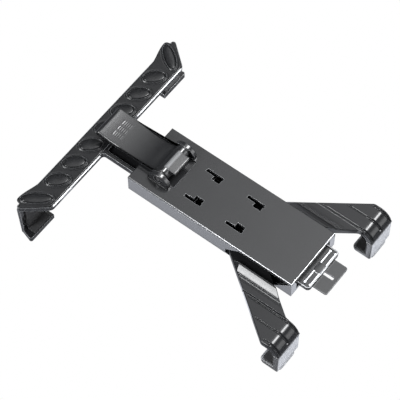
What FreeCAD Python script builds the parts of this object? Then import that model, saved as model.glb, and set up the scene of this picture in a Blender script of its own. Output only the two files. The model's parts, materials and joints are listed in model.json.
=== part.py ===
import FreeCAD, Part
import math
import os
import Sketcher

# Headrest tablet mount, back side up, resting on its four claws. +X runs across
# the housing, +Y from the legs to the T-bar, +Z from the tablet to the headrest.
# Places along the mount are written as `at(d)`, where d is the distance from the
# T-bar end of the housing towards the legs.

SIZES = [
    ("housing_width", 50, "across the housing"),
    ("housing_length", 139, "T-bar end to leg end"),
    ("housing_bottom", 25.5, "height of the tablet side face"),
    ("housing_depth", 17.5, "tablet side face to back face"),
    ("wall", 2, "moulded wall of the housing"),
    ("cover_thick", 2, "back cover plate"),
    ("edge_round", 2.6, "rounding round the tablet side face"),
    ("rim_round", 0.7, "rounding of the cover's edge"),
    ("running", 0.3, "clearance beside a sliding piece"),
    ("leg_reach", 158.9, "T-bar end of the housing to the leg claws"),
    ("tee_reach", 51.8, "T-bar end of the housing to the grip's outer edge"),
    ("tee_stem_width", 35, "stem of the T-bar"),
    ("tee_stem_inner", 47, "stem's inner end inside the housing"),
    ("tee_bottom", 33, "underside of the T-bar"),
    ("tee_top", 37.8, "top of the stem's rims"),
    ("tee_inward", 22, "travel of the T-bar into the housing"),
    ("tee_channel_width", 29, "recessed channel of the stem"),
    ("tee_channel_floor", 35.2, "height of the channel's floor"),
    ("tee_channel_inner", 30, "inner end of the channel"),
    ("tee_channel_round", 1.4, "rounded corners of the channel"),
    ("tee_channel_outer", 26.4, "outer end of the channel, beyond the housing"),
    ("tee_notch_pitch", 4, "spacing of the detent notches"),
    ("tee_notch_wide", 1.6, "width of a detent notch"),
    ("tee_notch_deep", 0.8, "depth of a detent notch"),
    ("arm_near", 28, "arm edge nearest the housing"),
    ("arm_far", 48.2, "arm's outer edge"),
    ("arm_top", 36.4, "plastic top of the arm, under the grip"),
    ("arm_half", 89.4, "half length of the arm at its outer edge"),
    ("arm_end_slant", 16.4, "how far the arm's slanted end runs back"),
    ("arm_fillet", 2.5, "inner corner between stem and arm"),
    ("arm_near_round", 5, "round from the arm's near edge to its slanted end"),
    ("arm_far_round", 2, "round from the slanted end to the arm's outer edge"),
    ("hook_inner_back", 26.4, "inner end of a T-bar claw, from the arm's end"),
    ("hook_outer_back", 2.4, "outer end of a T-bar claw at its root, from the arm's end"),
    ("hook_foot_back", 3.9, "outer end of a T-bar claw at its foot, from the arm's end"),
    ("hook_wall", 2.8, "thickness of a T-bar claw's wall"),
    ("hook_lip_edge", 37.4, "free edge of a T-bar claw's lip"),
    ("hook_lip_back", 1, "outer corner of that lip at its free edge, from the arm's end"),
    ("hook_lip_round", 1.6, "round of that corner"),
    ("hook_lining_inset", 2.8, "lining's distance from the ends of a T-bar claw"),
    ("hook_lip_thick", 4.4, "thickness of a T-bar claw's lip"),
    ("lining", 1.3, "rubber lining of a claw"),
    ("lining_inset", 0.9, "lining's distance from the claw's edges"),
    ("grip_thick", 1.2, "rubber skin on the arm"),
    ("grip_inset", 0.6, "skin's distance from the arm's edges"),
    ("oval_pitch", 17.9, "spacing of the regular ovals"),
    ("oval_long", 9.3, "half length of a regular oval"),
    ("oval_short", 5.6, "half width of a regular oval"),
    ("oval_turn", 44.6, "turn of the regular ovals, degrees"),
    ("oval_row", 38.8, "centre line of the regular ovals"),
    ("end_oval_back", 15.4, "end oval's centre, from the arm's end"),
    ("end_oval_row", 40.8, "end oval's centre, beyond the housing"),
    ("end_oval_long", 12.1, "half length of an end oval"),
    ("end_oval_short", 4.9, "half width of an end oval"),
    ("end_oval_turn", 37.7, "turn of the end ovals, degrees"),
    ("oval_rim", 0.9, "width of an oval's raised rim"),
    ("oval_rise", 0.7, "height of an oval's raised rim"),
    ("oval_groove", 0.8, "groove between an oval's rim and its pad"),
    ("bulge_start_back", 28, "where the grip's end pad leaves the outer edge, from the arm's end"),
    ("bulge_middle_back", 16.4, "turn of the end pad's outline, from the arm's end"),
    ("bulge_tip_back", 8.2, "furthest point of the end pad, from the arm's end"),
    ("bulge_round", 2.4, "round of the end pad's tip"),
    ("bulge_rise", 1.6, "how far the end pad is out at the turn of its outline"),
    ("bulge_swell", 30, "radius of the end pad's swelling side"),
    ("bulge_sweep", 60, "radius that leads from the outer edge into the end pad"),
    ("leg_angle", 35.94, "slant of the legs from the housing's length"),
    ("leg_width", 21.4, "width across a leg"),
    ("leg_start", 53.1, "where a leg's outer edge meets the centreline"),
    ("leg_bottom", 27.8, "underside of the legs"),
    ("leg_top", 32.5, "top of the legs"),
    ("leg_inner", 11, "leg's inner end, from the centreline"),
    ("leg_tip_corner", 1.33, "leg's inner corner, before the round of the tip"),
    ("leg_tip_width", 24, "width of the leg tip and its claw"),
    ("leg_tip_radius", 10, "round of the leg tip down to its claw"),
    ("leg_tip_wall", 4.5, "wall of the rounded leg tip"),
    ("leg_rib_first", 34.6, "first rib, from the centreline"),
    ("leg_rib_tip", 2.74, "first rib on the tip, from the tip's inner side"),
    ("leg_rib_pitch", 10.2, "spacing of the ribs"),
    ("leg_rib_wide", 0.8, "width of a rib"),
    ("leg_rib_high", 0.5, "height of a rib"),
    ("hump_inner", 28.6, "inner face of the leg's raised root"),
    ("hump_crest", 30, "outer end of the raised root's flat top"),
    ("hump_foot", 33.8, "foot of the raised root's ramp"),
    ("hump_ramp", 4.2, "radius of that ramp"),
    ("hump_high", 3, "height of the raised root"),
    ("hump_back", 4.4, "raised root's distance from the leg's outer edge"),
    ("window_lean_tee", 11.2, "slant of a leg window's end towards the T-bar"),
    ("window_lean_end", 13.2, "slant of a leg window's end towards the leg end"),
    ("guide_wide", 2.4, "guide rib of a leg on the housing's floor"),
    ("guide_high", 1.5, "height of that guide rib"),
    ("pin_across", 15, "leg's drive pin, from the centreline"),
    ("pin_radius", 1.5, "radius of a leg's drive pin"),
    ("slider_travel", 14, "travel of the slider into the housing"),
    ("claw_top", 22.1, "top of a leg claw"),
    ("claw_wall", 4, "wall of a leg claw"),
    ("claw_lip", 15.4, "depth of a leg claw's lip with its wall"),
    ("claw_lip_bottom", 3, "underside of a leg claw's lip"),
    ("claw_lip_thick", 3.6, "thickness of a leg claw's lip"),
    ("claw_foot_inset", 3.5, "how far the claw's foot stands in from its sides"),
    ("plate_bottom", 32.7, "underside of the slider plate"),
    ("plate_thick", 1.3, "thickness of the slider plate"),
    ("plate_half", 12.7, "half width of the tongue"),
    ("plate_head_half", 18, "half width of the plate's head"),
    ("plate_head_deep", 8, "length of the plate's head"),
    ("handle_half", 18, "half width of the slider's handle"),
    ("handle_beyond", 9.2, "outer edge of the handle, beyond the housing"),
    ("handle_deep", 19, "length of the handle"),
    ("handle_top", 36.6, "top of the handle between its bars"),
    ("handle_bar_high", 1.1, "height of the handle's raised bars"),
    ("handle_bar_wide", 1.5, "width of a raised bar"),
    ("handle_corner", 2.7, "rounded corners of the handle"),
    ("rivet_across", 9, "handle's rivets, from the centreline"),
    ("handle_boss_half", 4.2, "half width of the plain middle of the bars"),
    ("tongue_slot_wide", 2.4, "width of the slot in the tongue"),
    ("tongue_slot_long", 8.6, "length of the slot in the tongue"),
    ("key_across", 12.5, "keyhole slot, from the centreline"),
    ("key_first", 46.8, "middle of the first keyholes"),
    ("key_pitch", 35, "keyholes' spacing along the housing"),
    ("key_long", 14, "length of a keyhole's slot"),
    ("key_wide", 2.5, "width of a keyhole's slot"),
    ("key_head_wide", 5.6, "width of a keyhole's wide half"),
    ("key_head_long", 6.6, "length of a keyhole's wide half"),
    ("axle_along", 19.4, "hinge axis, from the T-bar end of the housing"),
    ("axle_high", 5, "hinge axis above the cover"),
    ("axle_radius", 1.55, "radius of the hinge pin"),
    ("axle_play", 0.05, "clearance of the hinge pin in the stand"),
    ("barrel_radius", 5.4, "radius of the stand's barrel"),
    ("ear_radius", 9, "radius of an ear"),
    ("ear_inner", 13.4, "inner face of an ear, from the centreline"),
    ("ear_thick", 3.5, "thickness of an ear"),
    ("ear_dish_radius", 2.9, "recess round the hinge pin's end"),
    ("ear_dish_deep", 1, "depth of that recess"),
    ("ear_round", 1.1, "rounding of an ear's outer rim"),
    ("washer_thick", 0.8, "hinge washer"),
    ("washer_radius", 4.6, "outer radius of a hinge washer"),
    ("stand_width", 24.8, "width of the stand's blade and barrel"),
    ("stand_reach", 38.3, "blade's free end, beyond the housing"),
    ("stand_gap", 1.4, "blade's underside above the cover"),
    ("stand_nose", 5.1, "thickness of the blade's free end"),
    ("stand_nose_low", 2.9, "round of the free end's lower corner"),
    ("stand_nose_back", 1.6, "free end's upper corner, in from its furthest point"),
    ("stand_thin", 3.1, "thickness of the blade near the barrel"),
    ("stand_thin_place", 12, "where that is, from the T-bar end of the housing"),
    ("stand_bow", 240, "radius of the blade's hollow face"),
    ("stand_skirt", 1.6, "side skirt of the blade"),
    ("heel_width", 16.5, "width of the stand's heel"),
    ("heel_reach", 8.8, "heel's edge from the hinge axis"),
    ("recess_deep", 1, "recess in the cover under the barrel and heel"),
    ("recess_round", 1, "rounded corners of that recess"),
    ("boss_radius", 2, "screw boss of the cover"),
    ("boss_across", 20.4, "screw bosses, from the centreline"),
    ("boss_inset", 6.5, "screw bosses, from the housing's ends"),
    ("screw_radius", 0.9, "shank of the small screws"),
    ("screw_head", 1.7, "head radius of the small screws"),
    ("pad_thick", 1.2, "foam pad on the tablet side"),
    ("pad_half", 17, "half width of the foam pad"),
    ("pad_round", 2.4, "rounded corners of the foam pad"),
    ("pad_margin", 12, "foam pad's distance from the housing's ends"),
    ("spring_thick", 0.6, "thickness of the detent springs"),
    ("tee_spring_screw", 11.5, "screw of the T-bar's detent spring"),
    ("tee_spring_bump", 27, "where that spring meets the stem"),
    ("slider_spring_screw", 106.5, "screw of the slider's detent spring"),
    ("slider_spring_bump", 91, "where that spring meets the slider plate"),
    ("spring_screw_bite", 1.2, "depth of those screws in the housing"),
    ("claw_screw_bite", 3.5, "depth of a claw's screw in the leg"),
]


class Size:
    """A number together with the expression on the sheet that gives it."""

    def __init__(self, text, value):
        self.text = text
        self.value = float(value)

    def _with(self, sign, other, value, swap=False):
        first, second = (other, self) if swap else (self, other)
        return Size(f"({text(first)} {sign} {text(second)})", value)

    def __add__(self, other):
        return self._with("+", other, self.value + num(other))

    def __radd__(self, other):
        return self._with("+", other, num(other) + self.value, True)

    def __sub__(self, other):
        return self._with("-", other, self.value - num(other))

    def __rsub__(self, other):
        return self._with("-", other, num(other) - self.value, True)

    def __mul__(self, other):
        return self._with("*", other, self.value * num(other))

    def __rmul__(self, other):
        return self._with("*", other, num(other) * self.value, True)

    def __truediv__(self, other):
        return self._with("/", other, self.value / num(other))

    def __neg__(self):
        return Size(f"(0 - {self.text})", -self.value)


def num(size):
    return size.value if isinstance(size, Size) else float(size)


def text(size):
    return size.text if isinstance(size, Size) else repr(float(size))


def tangent(size):
    return Size(f"tan({size.text})", math.tan(math.radians(size.value)))


def cosine(size):
    return Size(f"cos({size.text})", math.cos(math.radians(size.value)))


def root(size):
    return Size(f"sqrt({size.text})", math.sqrt(size.value))


def turned(before, corner, after, radius):
    """The two points that round a corner of an outline, the second reached by an arc."""
    dx0, dy0 = corner[0] - before[0], corner[1] - before[1]
    dx1, dy1 = after[0] - corner[0], after[1] - corner[1]
    long0, long1 = root(dx0 * dx0 + dy0 * dy0), root(dx1 * dx1 + dy1 * dy1)
    along = (dx0 * dx1 + dy0 * dy1) / (long0 * long1)
    back = radius * root((1 - along) / (1 + along))
    side = 1 if num(dx0) * num(dy1) > num(dy0) * num(dx1) else -1
    return [
        (corner[0] - back * dx0 / long0, corner[1] - back * dy0 / long0),
        (corner[0] + back * dx1 / long1, corner[1] + back * dy1 / long1, side * radius),
    ]


class Sheet:
    """The spreadsheet of sizes; each alias is read as an attribute."""

    def __init__(self, doc, rows):
        self.cells = doc.addObject("Spreadsheet::Sheet", "sizes")
        for row, (alias, value, note) in enumerate(rows, 1):
            self.cells.set(f"A{row}", alias)
            self.cells.set(f"B{row}", str(value))
            self.cells.set(f"C{row}", note)
            self.cells.setAlias(f"B{row}", alias)
            setattr(self, alias, Size(f"sizes.{alias}", value))


doc = FreeCAD.newDocument("tablet_mount")
s = Sheet(doc, SIZES)
doc.recompute()


def bind(thing, name, size):
    thing.setExpression(name, text(size))


def origin_plane(body, role):
    return [item for item in body.Origin.OriginFeatures if item.Role == role][0]


def new_body(label):
    body = doc.addObject("PartDesign::Body", label)
    body.Label = label
    body.AllowCompound = True
    return body


def arc_geometry(start, end, radius):
    """Arc from start to end; a positive radius turns left, a negative one right."""
    dx, dy = end[0] - start[0], end[1] - start[1]
    chord = math.hypot(dx, dy)
    rise = math.sqrt(max(radius * radius - chord * chord / 4, 0)) * math.copysign(1, radius)
    centre = FreeCAD.Vector(
        (start[0] + end[0]) / 2 - dy / chord * rise, (start[1] + end[1]) / 2 + dx / chord * rise, 0
    )
    first, last = (start, end) if radius > 0 else (end, start)
    begin = math.atan2(first[1] - centre.y, first[0] - centre.x)
    finish = math.atan2(last[1] - centre.y, last[0] - centre.x)
    circle = Part.Circle(centre, FreeCAD.Vector(0, 0, 1), abs(radius))
    return Part.ArcOfCircle(circle, begin, finish if finish > begin else finish + 2 * math.pi)


def draw_path(sketch, path):
    """Closed outline of (x, y) corners; (x, y, r) is reached by an arc of radius r."""
    count = len(path)
    ends = []
    for index, corner in enumerate(path):
        before = path[index - 1]
        start, end = (num(before[0]), num(before[1])), (num(corner[0]), num(corner[1]))
        if len(corner) == 3:
            line = sketch.addGeometry(arc_geometry(start, end, num(corner[2])), False)
            ends.append((line, 1, 2) if num(corner[2]) > 0 else (line, 2, 1))
            radius = corner[2] if num(corner[2]) > 0 else -1 * corner[2]
            made = sketch.addConstraint(Sketcher.Constraint("Radius", line, num(radius)))
            sketch.setExpression(f"Constraints[{made}]", text(radius))
        else:
            line = sketch.addGeometry(
                Part.LineSegment(FreeCAD.Vector(*start, 0), FreeCAD.Vector(*end, 0)), False
            )
            ends.append((line, 1, 2))
    for index, corner in enumerate(path):
        line, _, end = ends[index]
        following, start, _ = ends[(index + 1) % count]
        sketch.addConstraint(Sketcher.Constraint("Coincident", line, end, following, start))
        for kind, place in (("DistanceX", corner[0]), ("DistanceY", corner[1])):
            made = sketch.addConstraint(Sketcher.Constraint(kind, -1, 1, line, end, num(place)))
            sketch.setExpression(f"Constraints[{made}]", text(place))


def draw_circle(sketch, x, y, radius):
    centre = FreeCAD.Vector(num(x), num(y), 0)
    line = sketch.addGeometry(Part.Circle(centre, FreeCAD.Vector(0, 0, 1), num(radius)), False)
    made = sketch.addConstraint(Sketcher.Constraint("Radius", line, num(radius)))
    sketch.setExpression(f"Constraints[{made}]", text(radius))
    for kind, place in (("DistanceX", x), ("DistanceY", y)):
        made = sketch.addConstraint(Sketcher.Constraint(kind, -1, 1, line, 3, num(place)))
        sketch.setExpression(f"Constraints[{made}]", text(place))


def add_sketch(body, name, plane, offset, outlines):
    sketch = body.newObject("Sketcher::SketchObject", f"{body.Label}_{name}_outline")
    sketch.AttachmentSupport = (origin_plane(body, plane), [""])
    sketch.MapMode = "FlatFace"
    bind(sketch, "AttachmentOffset.Base.z", offset)
    for outline in outlines:
        if isinstance(outline, list):
            draw_path(sketch, outline)
        else:
            draw_circle(sketch, *outline)
    return sketch


def pad(body, name, plane, low, high, *outlines):
    """Adds material between two places on the axis that the plane is square to."""
    offset = -1 * high if plane == "XZ_Plane" else low
    sketch = add_sketch(body, name, plane, offset, outlines)
    feature = body.newObject("PartDesign::Pad", f"{body.Label}_{name}")
    feature.Profile = sketch
    bind(feature, "Length", high - low)
    return feature


def cut(body, name, plane, low, high, *outlines):
    """Takes material away between two places on the axis that the plane is square to."""
    offset = -1 * low if plane == "XZ_Plane" else high
    sketch = add_sketch(body, name, plane, offset, outlines)
    feature = body.newObject("PartDesign::Pocket", f"{body.Label}_{name}")
    feature.Profile = sketch
    bind(feature, "Length", high - low)
    return feature


def round_edges(body, name, radius, wanted):
    """Rounds the edges of the body whose box the test accepts."""
    doc.recompute()
    base = body.Tip
    edges = [f"Edge{i}" for i, edge in enumerate(base.Shape.Edges, 1) if wanted(edge.BoundBox)]
    feature = body.newObject("PartDesign::Fillet", f"{body.Label}_{name}")
    feature.Base = (base, edges)
    bind(feature, "Radius", radius)
    return feature


def rectangle(x0, y0, x1, y1):
    return [(x0, y0), (x1, y0), (x1, y1), (x0, y1)]


def rounded(x0, y0, x1, y1, r):
    return [
        (x0 + r, y0, r), (x1 - r, y0), (x1, y0 + r, r), (x1, y1 - r),
        (x1 - r, y1, r), (x0 + r, y1), (x0, y1 - r, r), (x0, y0 + r),
    ]


def flipped(path, side):
    """The outline on the given side of the centreline, 1 as drawn or -1 mirrored."""
    return [(side * p[0], p[1]) + tuple(side * r for r in p[2:]) for p in path]


half_width = s.housing_width / 2
cover_top = s.housing_bottom + s.housing_depth
cover_bottom = cover_top - s.cover_thick
floor_top = s.housing_bottom + s.wall
inside = half_width - s.wall
# The origin stands under the middle of the whole mount.
housing_end = (s.leg_reach - s.tee_reach) / 2
slant = tangent(s.leg_angle)
leg_across = s.leg_width / cosine(s.leg_angle)
stem_half = s.tee_stem_width / 2
axle_height = cover_top + s.axle_high
handle_end = s.housing_length + s.handle_beyond
hook_inner = s.arm_half - s.hook_inner_back
hook_outer = s.arm_half - s.hook_outer_back
hook_foot = s.arm_half - s.hook_foot_back
# The leg's slanting inner edge runs out to the tip.
leg_tip_inner = (s.leg_reach - s.leg_tip_radius - s.leg_tip_corner - s.leg_start) * slant - leg_across


def at(distance):
    return housing_end - distance


def leg_edge(across, edge):
    """Where a leg's edge, 0 the outer and 1 the inner, crosses a line along the mount."""
    return at(s.leg_start + (across + edge * leg_across) / slant)


def sides(side, inner, outer):
    """Low and high place of a stretch given from the centreline outwards."""
    return (inner, outer) if side > 0 else (-1 * outer, -1 * inner)


BOTH = (("left", -1), ("right", 1))
tee_zone = s.tee_stem_inner + s.tee_inward + 1
stem_room = stem_half + s.running
stem_floor = s.tee_bottom - s.running
ledge_inner = stem_half - 2.5
boss_places = [
    (side * s.boss_across, at(along))
    for side in (-1, 1)
    for along in (s.boss_inset, s.housing_length - s.boss_inset)
]


def make_front_shell():
    body = new_body("front_shell")
    outer = rectangle(-1 * half_width, at(s.housing_length), half_width, at(0))
    pad(body, "block", "XY_Plane", s.housing_bottom, cover_bottom, outer)
    face = num(s.housing_bottom) + 0.01
    round_edges(body, "face_round", s.edge_round, lambda box: box.ZMax < face)

    far_wall, near_wall = at(s.housing_length - s.wall), at(s.wall)
    cut(body, "stem_room", "XY_Plane", stem_floor, cover_bottom,
        rectangle(-1 * stem_room, at(tee_zone), stem_room, near_wall))
    cut(body, "ledge_channel", "XY_Plane", floor_top, cover_bottom,
        rectangle(-1 * ledge_inner, at(tee_zone), ledge_inner, near_wall))
    cut(body, "leg_room", "XY_Plane", floor_top, cover_bottom,
        rectangle(-1 * inside, far_wall, inside, at(tee_zone)))
    cut(body, "tee_window", "XZ_Plane", at(s.wall + 1), at(-1),
        rectangle(-1 * stem_room, stem_floor, stem_room, s.tee_top + s.running))
    cut(body, "slider_window", "XZ_Plane", at(s.housing_length + 1), at(s.housing_length - s.wall - 1),
        rectangle(-1 * s.handle_half - 1, s.plate_bottom - 2.4, s.handle_half + 1, cover_bottom))

    # A leg's window leans over towards the leg end above the leg itself.
    first = leg_edge(inside - 0.5, 0) + s.running
    last = leg_edge(half_width, 1) - s.running
    low, high = floor_top, s.leg_top + s.running
    window = [
        (last - s.window_lean_end, cover_bottom), (first - s.window_lean_tee, cover_bottom), (first, high),
        (first, low), (last, low),
    ]
    guide = s.guide_wide / (2 * s.leg_width)
    for name, side in BOTH:
        cut(body, f"{name}_window", "YZ_Plane", *sides(side, inside - 0.1, half_width + 1), window)
        rib = [(x, leg_edge(x, edge)) for x, edge in (
            (s.leg_inner + 1, 0.5 + guide), (inside, 0.5 + guide),
            (inside, 0.5 - guide), (s.leg_inner + 1, 0.5 - guide))]
        pad(body, f"{name}_guide", "XY_Plane", floor_top, floor_top + s.guide_high, flipped(rib, side))

    for name, side in BOTH:
        cut(body, f"{name}_boss_room", "XY_Plane", floor_top, cover_bottom,
            (side * s.boss_across, at(s.boss_inset), s.boss_radius + 0.15))
    for number, (x, y) in enumerate(boss_places):
        cut(body, f"screw_hole_{number}", "XY_Plane", s.housing_bottom, floor_top,
            (x, y, s.screw_radius + 0.1))
        cut(body, f"head_hole_{number}", "XY_Plane", s.housing_bottom, s.housing_bottom + 1.2,
            (x, y, s.screw_head + 0.2))
    cut(body, "spring_pilot", "XY_Plane", floor_top - s.spring_screw_bite, floor_top,
        (0, at(s.tee_spring_screw), s.screw_radius))
    return body


def make_back_cover():
    body = new_body("back_cover")
    outer = rectangle(-1 * half_width, at(s.housing_length), half_width, at(0))
    pad(body, "plate", "XY_Plane", cover_bottom, cover_top, outer)
    face = num(cover_top) - 0.01
    round_edges(body, "rim_round", s.rim_round, lambda box: box.ZMin > face)

    # Each keyhole is a slot whose leg half is wider towards the centreline.
    half, head = s.key_wide / 2, s.key_head_wide
    for row, along in enumerate((s.key_first, s.key_first + s.key_pitch)):
        for name, side in BOTH:
            outward, inward = s.key_across + half, s.key_across - half
            keyhole = [
                (outward, at(along - s.key_long / 2)), (inward, at(along - s.key_long / 2)),
                (inward, at(along)), (outward - head, at(along)),
                (outward - head, at(along + s.key_head_long)), (inward, at(along + s.key_head_long)),
                (inward, at(along + s.key_long / 2)), (outward, at(along + s.key_long / 2)),
            ]
            cut(body, f"{name}_keyhole_{row}", "XY_Plane", cover_bottom - 1, cover_top + 1,
                flipped(keyhole, side))

    heel_room = s.heel_reach + 2.2
    cut(body, "barrel_recess", "XY_Plane", cover_top - s.recess_deep, cover_top + 1,
        rounded(-1 * s.ear_inner + 0.5, at(s.axle_along + heel_room), s.ear_inner - 0.5,
                at(s.axle_along - s.barrel_radius - 1), s.recess_round))
    cut(body, "spring_pilot", "XY_Plane", cover_bottom, cover_bottom + s.spring_screw_bite,
        (0, at(s.slider_spring_screw), s.screw_radius))

    # The ears are half discs that stand on the cover, with a cheek down each end.
    base = cover_bottom + 0.5
    middle = at(s.axle_along)
    ear = [
        (middle - s.ear_radius, base), (middle + s.ear_radius, base),
        (middle + s.ear_radius, cover_top + 0.6),
        (middle, cover_top + 0.6 + s.ear_radius, s.ear_radius),
        (middle - s.ear_radius, cover_top + 0.6, s.ear_radius),
    ]
    outer_face = s.ear_inner + s.ear_thick
    for name, side in BOTH:
        pad(body, f"{name}_ear", "YZ_Plane", *sides(side, s.ear_inner, outer_face), ear)
        crown = num(cover_top) + 0.61
        edge = side * num(outer_face)
        round_edges(body, f"{name}_ear_round", s.ear_round,
                    lambda box: abs(box.XMin - edge) < 0.01 and abs(box.XMax - edge) < 0.01
                    and box.ZMin > crown - 0.05 and box.ZMax > crown + 1)
        cut(body, f"{name}_pin_hole", "YZ_Plane", *sides(side, s.ear_inner - 1, outer_face + 1),
            (middle, axle_height, s.axle_radius))
        cut(body, f"{name}_dish", "YZ_Plane", *sides(side, outer_face - s.ear_dish_deep, outer_face + 1),
            (middle, axle_height, s.ear_dish_radius))

    for number, (x, y) in enumerate(boss_places):
        pad(body, f"boss_{number}", "XY_Plane", floor_top + s.running, cover_bottom + 0.5,
            (x, y, s.boss_radius))
        cut(body, f"pilot_{number}", "XY_Plane", floor_top, floor_top + 9, (x, y, s.screw_radius))
    stop = tee_stop_place()
    pad(body, "tee_stop", "XY_Plane", s.tee_channel_floor + s.running, cover_bottom + 0.5,
        (0, stop, s.boss_radius))
    return body


def tee_stop_place():
    """The stop stud rides in the stem's channel and meets its ends."""
    return at(s.tee_inward - s.tee_channel_outer + s.boss_radius + 6.5)


def make_cover_screws():
    body = new_body("cover_screws")
    bottom = s.housing_bottom + 0.15
    for number, (x, y) in enumerate(boss_places):
        pad(body, f"head_{number}", "XY_Plane", bottom, bottom + 1, (x, y, s.screw_head))
        pad(body, f"shank_{number}", "XY_Plane", bottom + 1, floor_top + 8.5, (x, y, s.screw_radius))
    return body


def make_front_pad():
    body = new_body("front_pad")
    pad(body, "foam", "XY_Plane", s.housing_bottom - s.pad_thick, s.housing_bottom,
        rounded(-1 * s.pad_half, at(s.housing_length - s.pad_margin), s.pad_half, at(s.pad_margin),
                s.pad_round))
    return body


def make_hinge_pin():
    length = 2 * (s.ear_inner + s.ear_thick - s.ear_dish_deep) + 1
    pin = doc.addObject("Part::Cylinder", "hinge_pin")
    pin.Label = "hinge_pin"
    pin.Placement.Rotation = FreeCAD.Rotation(FreeCAD.Vector(0, 1, 0), 90)
    bind(pin, "Radius", s.axle_radius)
    bind(pin, "Height", length)
    bind(pin, "Placement.Base.x", length / -2)
    bind(pin, "Placement.Base.y", at(s.axle_along))
    bind(pin, "Placement.Base.z", axle_height)
    return pin


def make_stand_washers():
    body = new_body("stand_washers")
    outer = s.stand_width / 2 + 0.1
    for name, side in BOTH:
        pad(body, name, "YZ_Plane", *sides(side, outer, outer + s.washer_thick),
            (at(s.axle_along), axle_height, s.washer_radius),
            (at(s.axle_along), axle_height, s.axle_radius + s.axle_play))
    return body


def make_kick_stand():
    body = new_body("kick_stand")
    half = s.stand_width / 2
    middle = at(s.axle_along)
    under = cover_top + s.stand_gap
    tip = at(-1 * s.stand_reach)
    pad(body, "barrel", "YZ_Plane", -1 * half, half, (middle, axle_height, s.barrel_radius))
    blade = [
        (middle + 2.4, under), (tip - s.stand_nose_low, under), (tip, under + 2.1, 3.2),
        (tip - s.stand_nose_back, under + s.stand_nose, 3.4),
        (at(s.stand_thin_place), under + s.stand_thin, -1 * s.stand_bow),
        (middle + 4.4, axle_height + 3.13, -4.2),
        (middle, axle_height),
    ]
    pad(body, "blade", "YZ_Plane", -1 * half, half, blade)
    cut(body, "underside", "XY_Plane", under - 1, under + 1.7,
        rectangle(-1 * half + s.stand_skirt, middle + s.barrel_radius + 2, half - s.stand_skirt, tip - 4.5))
    # The heel sticks out behind the barrel and meets the recess when the stand is open.
    heel = [
        (middle, axle_height), (middle - 0.4, axle_height + s.barrel_radius - 0.05),
        (middle - s.heel_reach, axle_height + 4), (middle - s.heel_reach, axle_height + 2.6),
        (middle - 3.6, axle_height),
    ]
    pad(body, "heel", "YZ_Plane", s.heel_width / -2, s.heel_width / 2, heel)
    cut(body, "bore", "YZ_Plane", -1 * half - 1, half + 1,
        (middle, axle_height, s.axle_radius + s.axle_play))
    return body


def arm_outline(inset):
    """The arm seen from above, drawn in by an inset."""
    near, far = at(-1 * s.arm_near) + inset, at(-1 * s.arm_far) - inset
    tip, bend = s.arm_half - inset, s.arm_half - s.arm_end_slant - inset
    near_corner = turned((0 * tip, near), (bend, near), (tip, far), s.arm_near_round)
    far_corner = turned((bend, near), (tip, far), (0 * tip, far), s.arm_far_round)
    right = near_corner + far_corner
    # The left half is the right one mirrored, walked the other way round.
    left = [(-1 * x, y) for x, y in (point[:2] for point in right[::-1])]
    left[1] += (s.arm_far_round,)
    left[3] += (s.arm_near_round,)
    return right + left


def make_tee_bar():
    body = new_body("tee_bar")
    pad(body, "arm", "XY_Plane", s.tee_bottom, s.arm_top, arm_outline(0))
    near = at(-1 * s.arm_near)
    fillet = s.arm_fillet
    stem = [
        (-1 * stem_half, at(s.tee_stem_inner)), (stem_half, at(s.tee_stem_inner)),
        (stem_half, near - fillet), (stem_half + fillet, near, -1 * fillet), (stem_half + fillet, near + 0.8),
        (-1 * stem_half - fillet, near + 0.8), (-1 * stem_half - fillet, near),
        (-1 * stem_half, near - fillet, -1 * fillet),
    ]
    pad(body, "stem", "XY_Plane", s.tee_bottom, s.tee_top, stem)
    channel = s.tee_channel_width / 2
    cut(body, "channel", "XY_Plane", s.tee_channel_floor, s.tee_top + 1,
        rounded(-1 * channel, at(s.tee_channel_inner), channel, at(-1 * s.tee_channel_outer),
                s.tee_channel_round))

    # Notches on the underside for the detent spring.
    notches = []
    for step in range(8):
        middle = at(s.tee_spring_bump) - s.tee_inward + s.tee_notch_pitch * (step + 1.5)
        notches.append(rectangle(-5, middle - s.tee_notch_wide / 2, 5, middle + s.tee_notch_wide / 2))
    cut(body, "notches", "XY_Plane", s.tee_bottom - 1, s.tee_bottom + s.tee_notch_deep, *notches)

    outer_face = at(-1 * s.arm_far)
    for name, side in BOTH:
        wall = [
            (hook_inner, 0), (hook_foot, 0), (hook_outer, s.tee_bottom + 0.5),
            (hook_inner, s.tee_bottom + 0.5),
        ]
        pad(body, f"{name}_wall", "XZ_Plane", outer_face - s.hook_wall, outer_face, flipped(wall, side))
        edge = at(-1 * s.hook_lip_edge)
        corner = turned((hook_inner, edge), (s.arm_half - s.hook_lip_back, edge), (hook_foot, outer_face),
                        s.hook_lip_round)
        root_line = outer_face - 1
        lip = [(hook_inner, root_line), (hook_inner, edge)] + corner + [(hook_foot, root_line)]
        pad(body, f"{name}_lip", "XY_Plane", 0, s.hook_lip_thick, flipped(lip, side))
    return body


def make_hook_lining(name, side):
    """Rubber L inside a T-bar claw, on its wall and its lip."""
    body = new_body(f"tee_{name}_lining")
    face = at(-1 * s.arm_far) - s.hook_wall
    lip_top = s.hook_lip_thick
    section = [
        (face, lip_top), (face, s.tee_bottom - 1), (face - s.lining, s.tee_bottom - 1),
        (face - s.lining, lip_top + s.lining), (at(-1 * s.hook_lip_edge) + 0.6, lip_top + s.lining),
        (at(-1 * s.hook_lip_edge) + 0.6, lip_top),
    ]
    inner = hook_inner + s.hook_lining_inset
    outer = hook_foot - s.hook_lining_inset
    pad(body, "section", "YZ_Plane", *sides(side, inner, outer), section)
    return body


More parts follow.
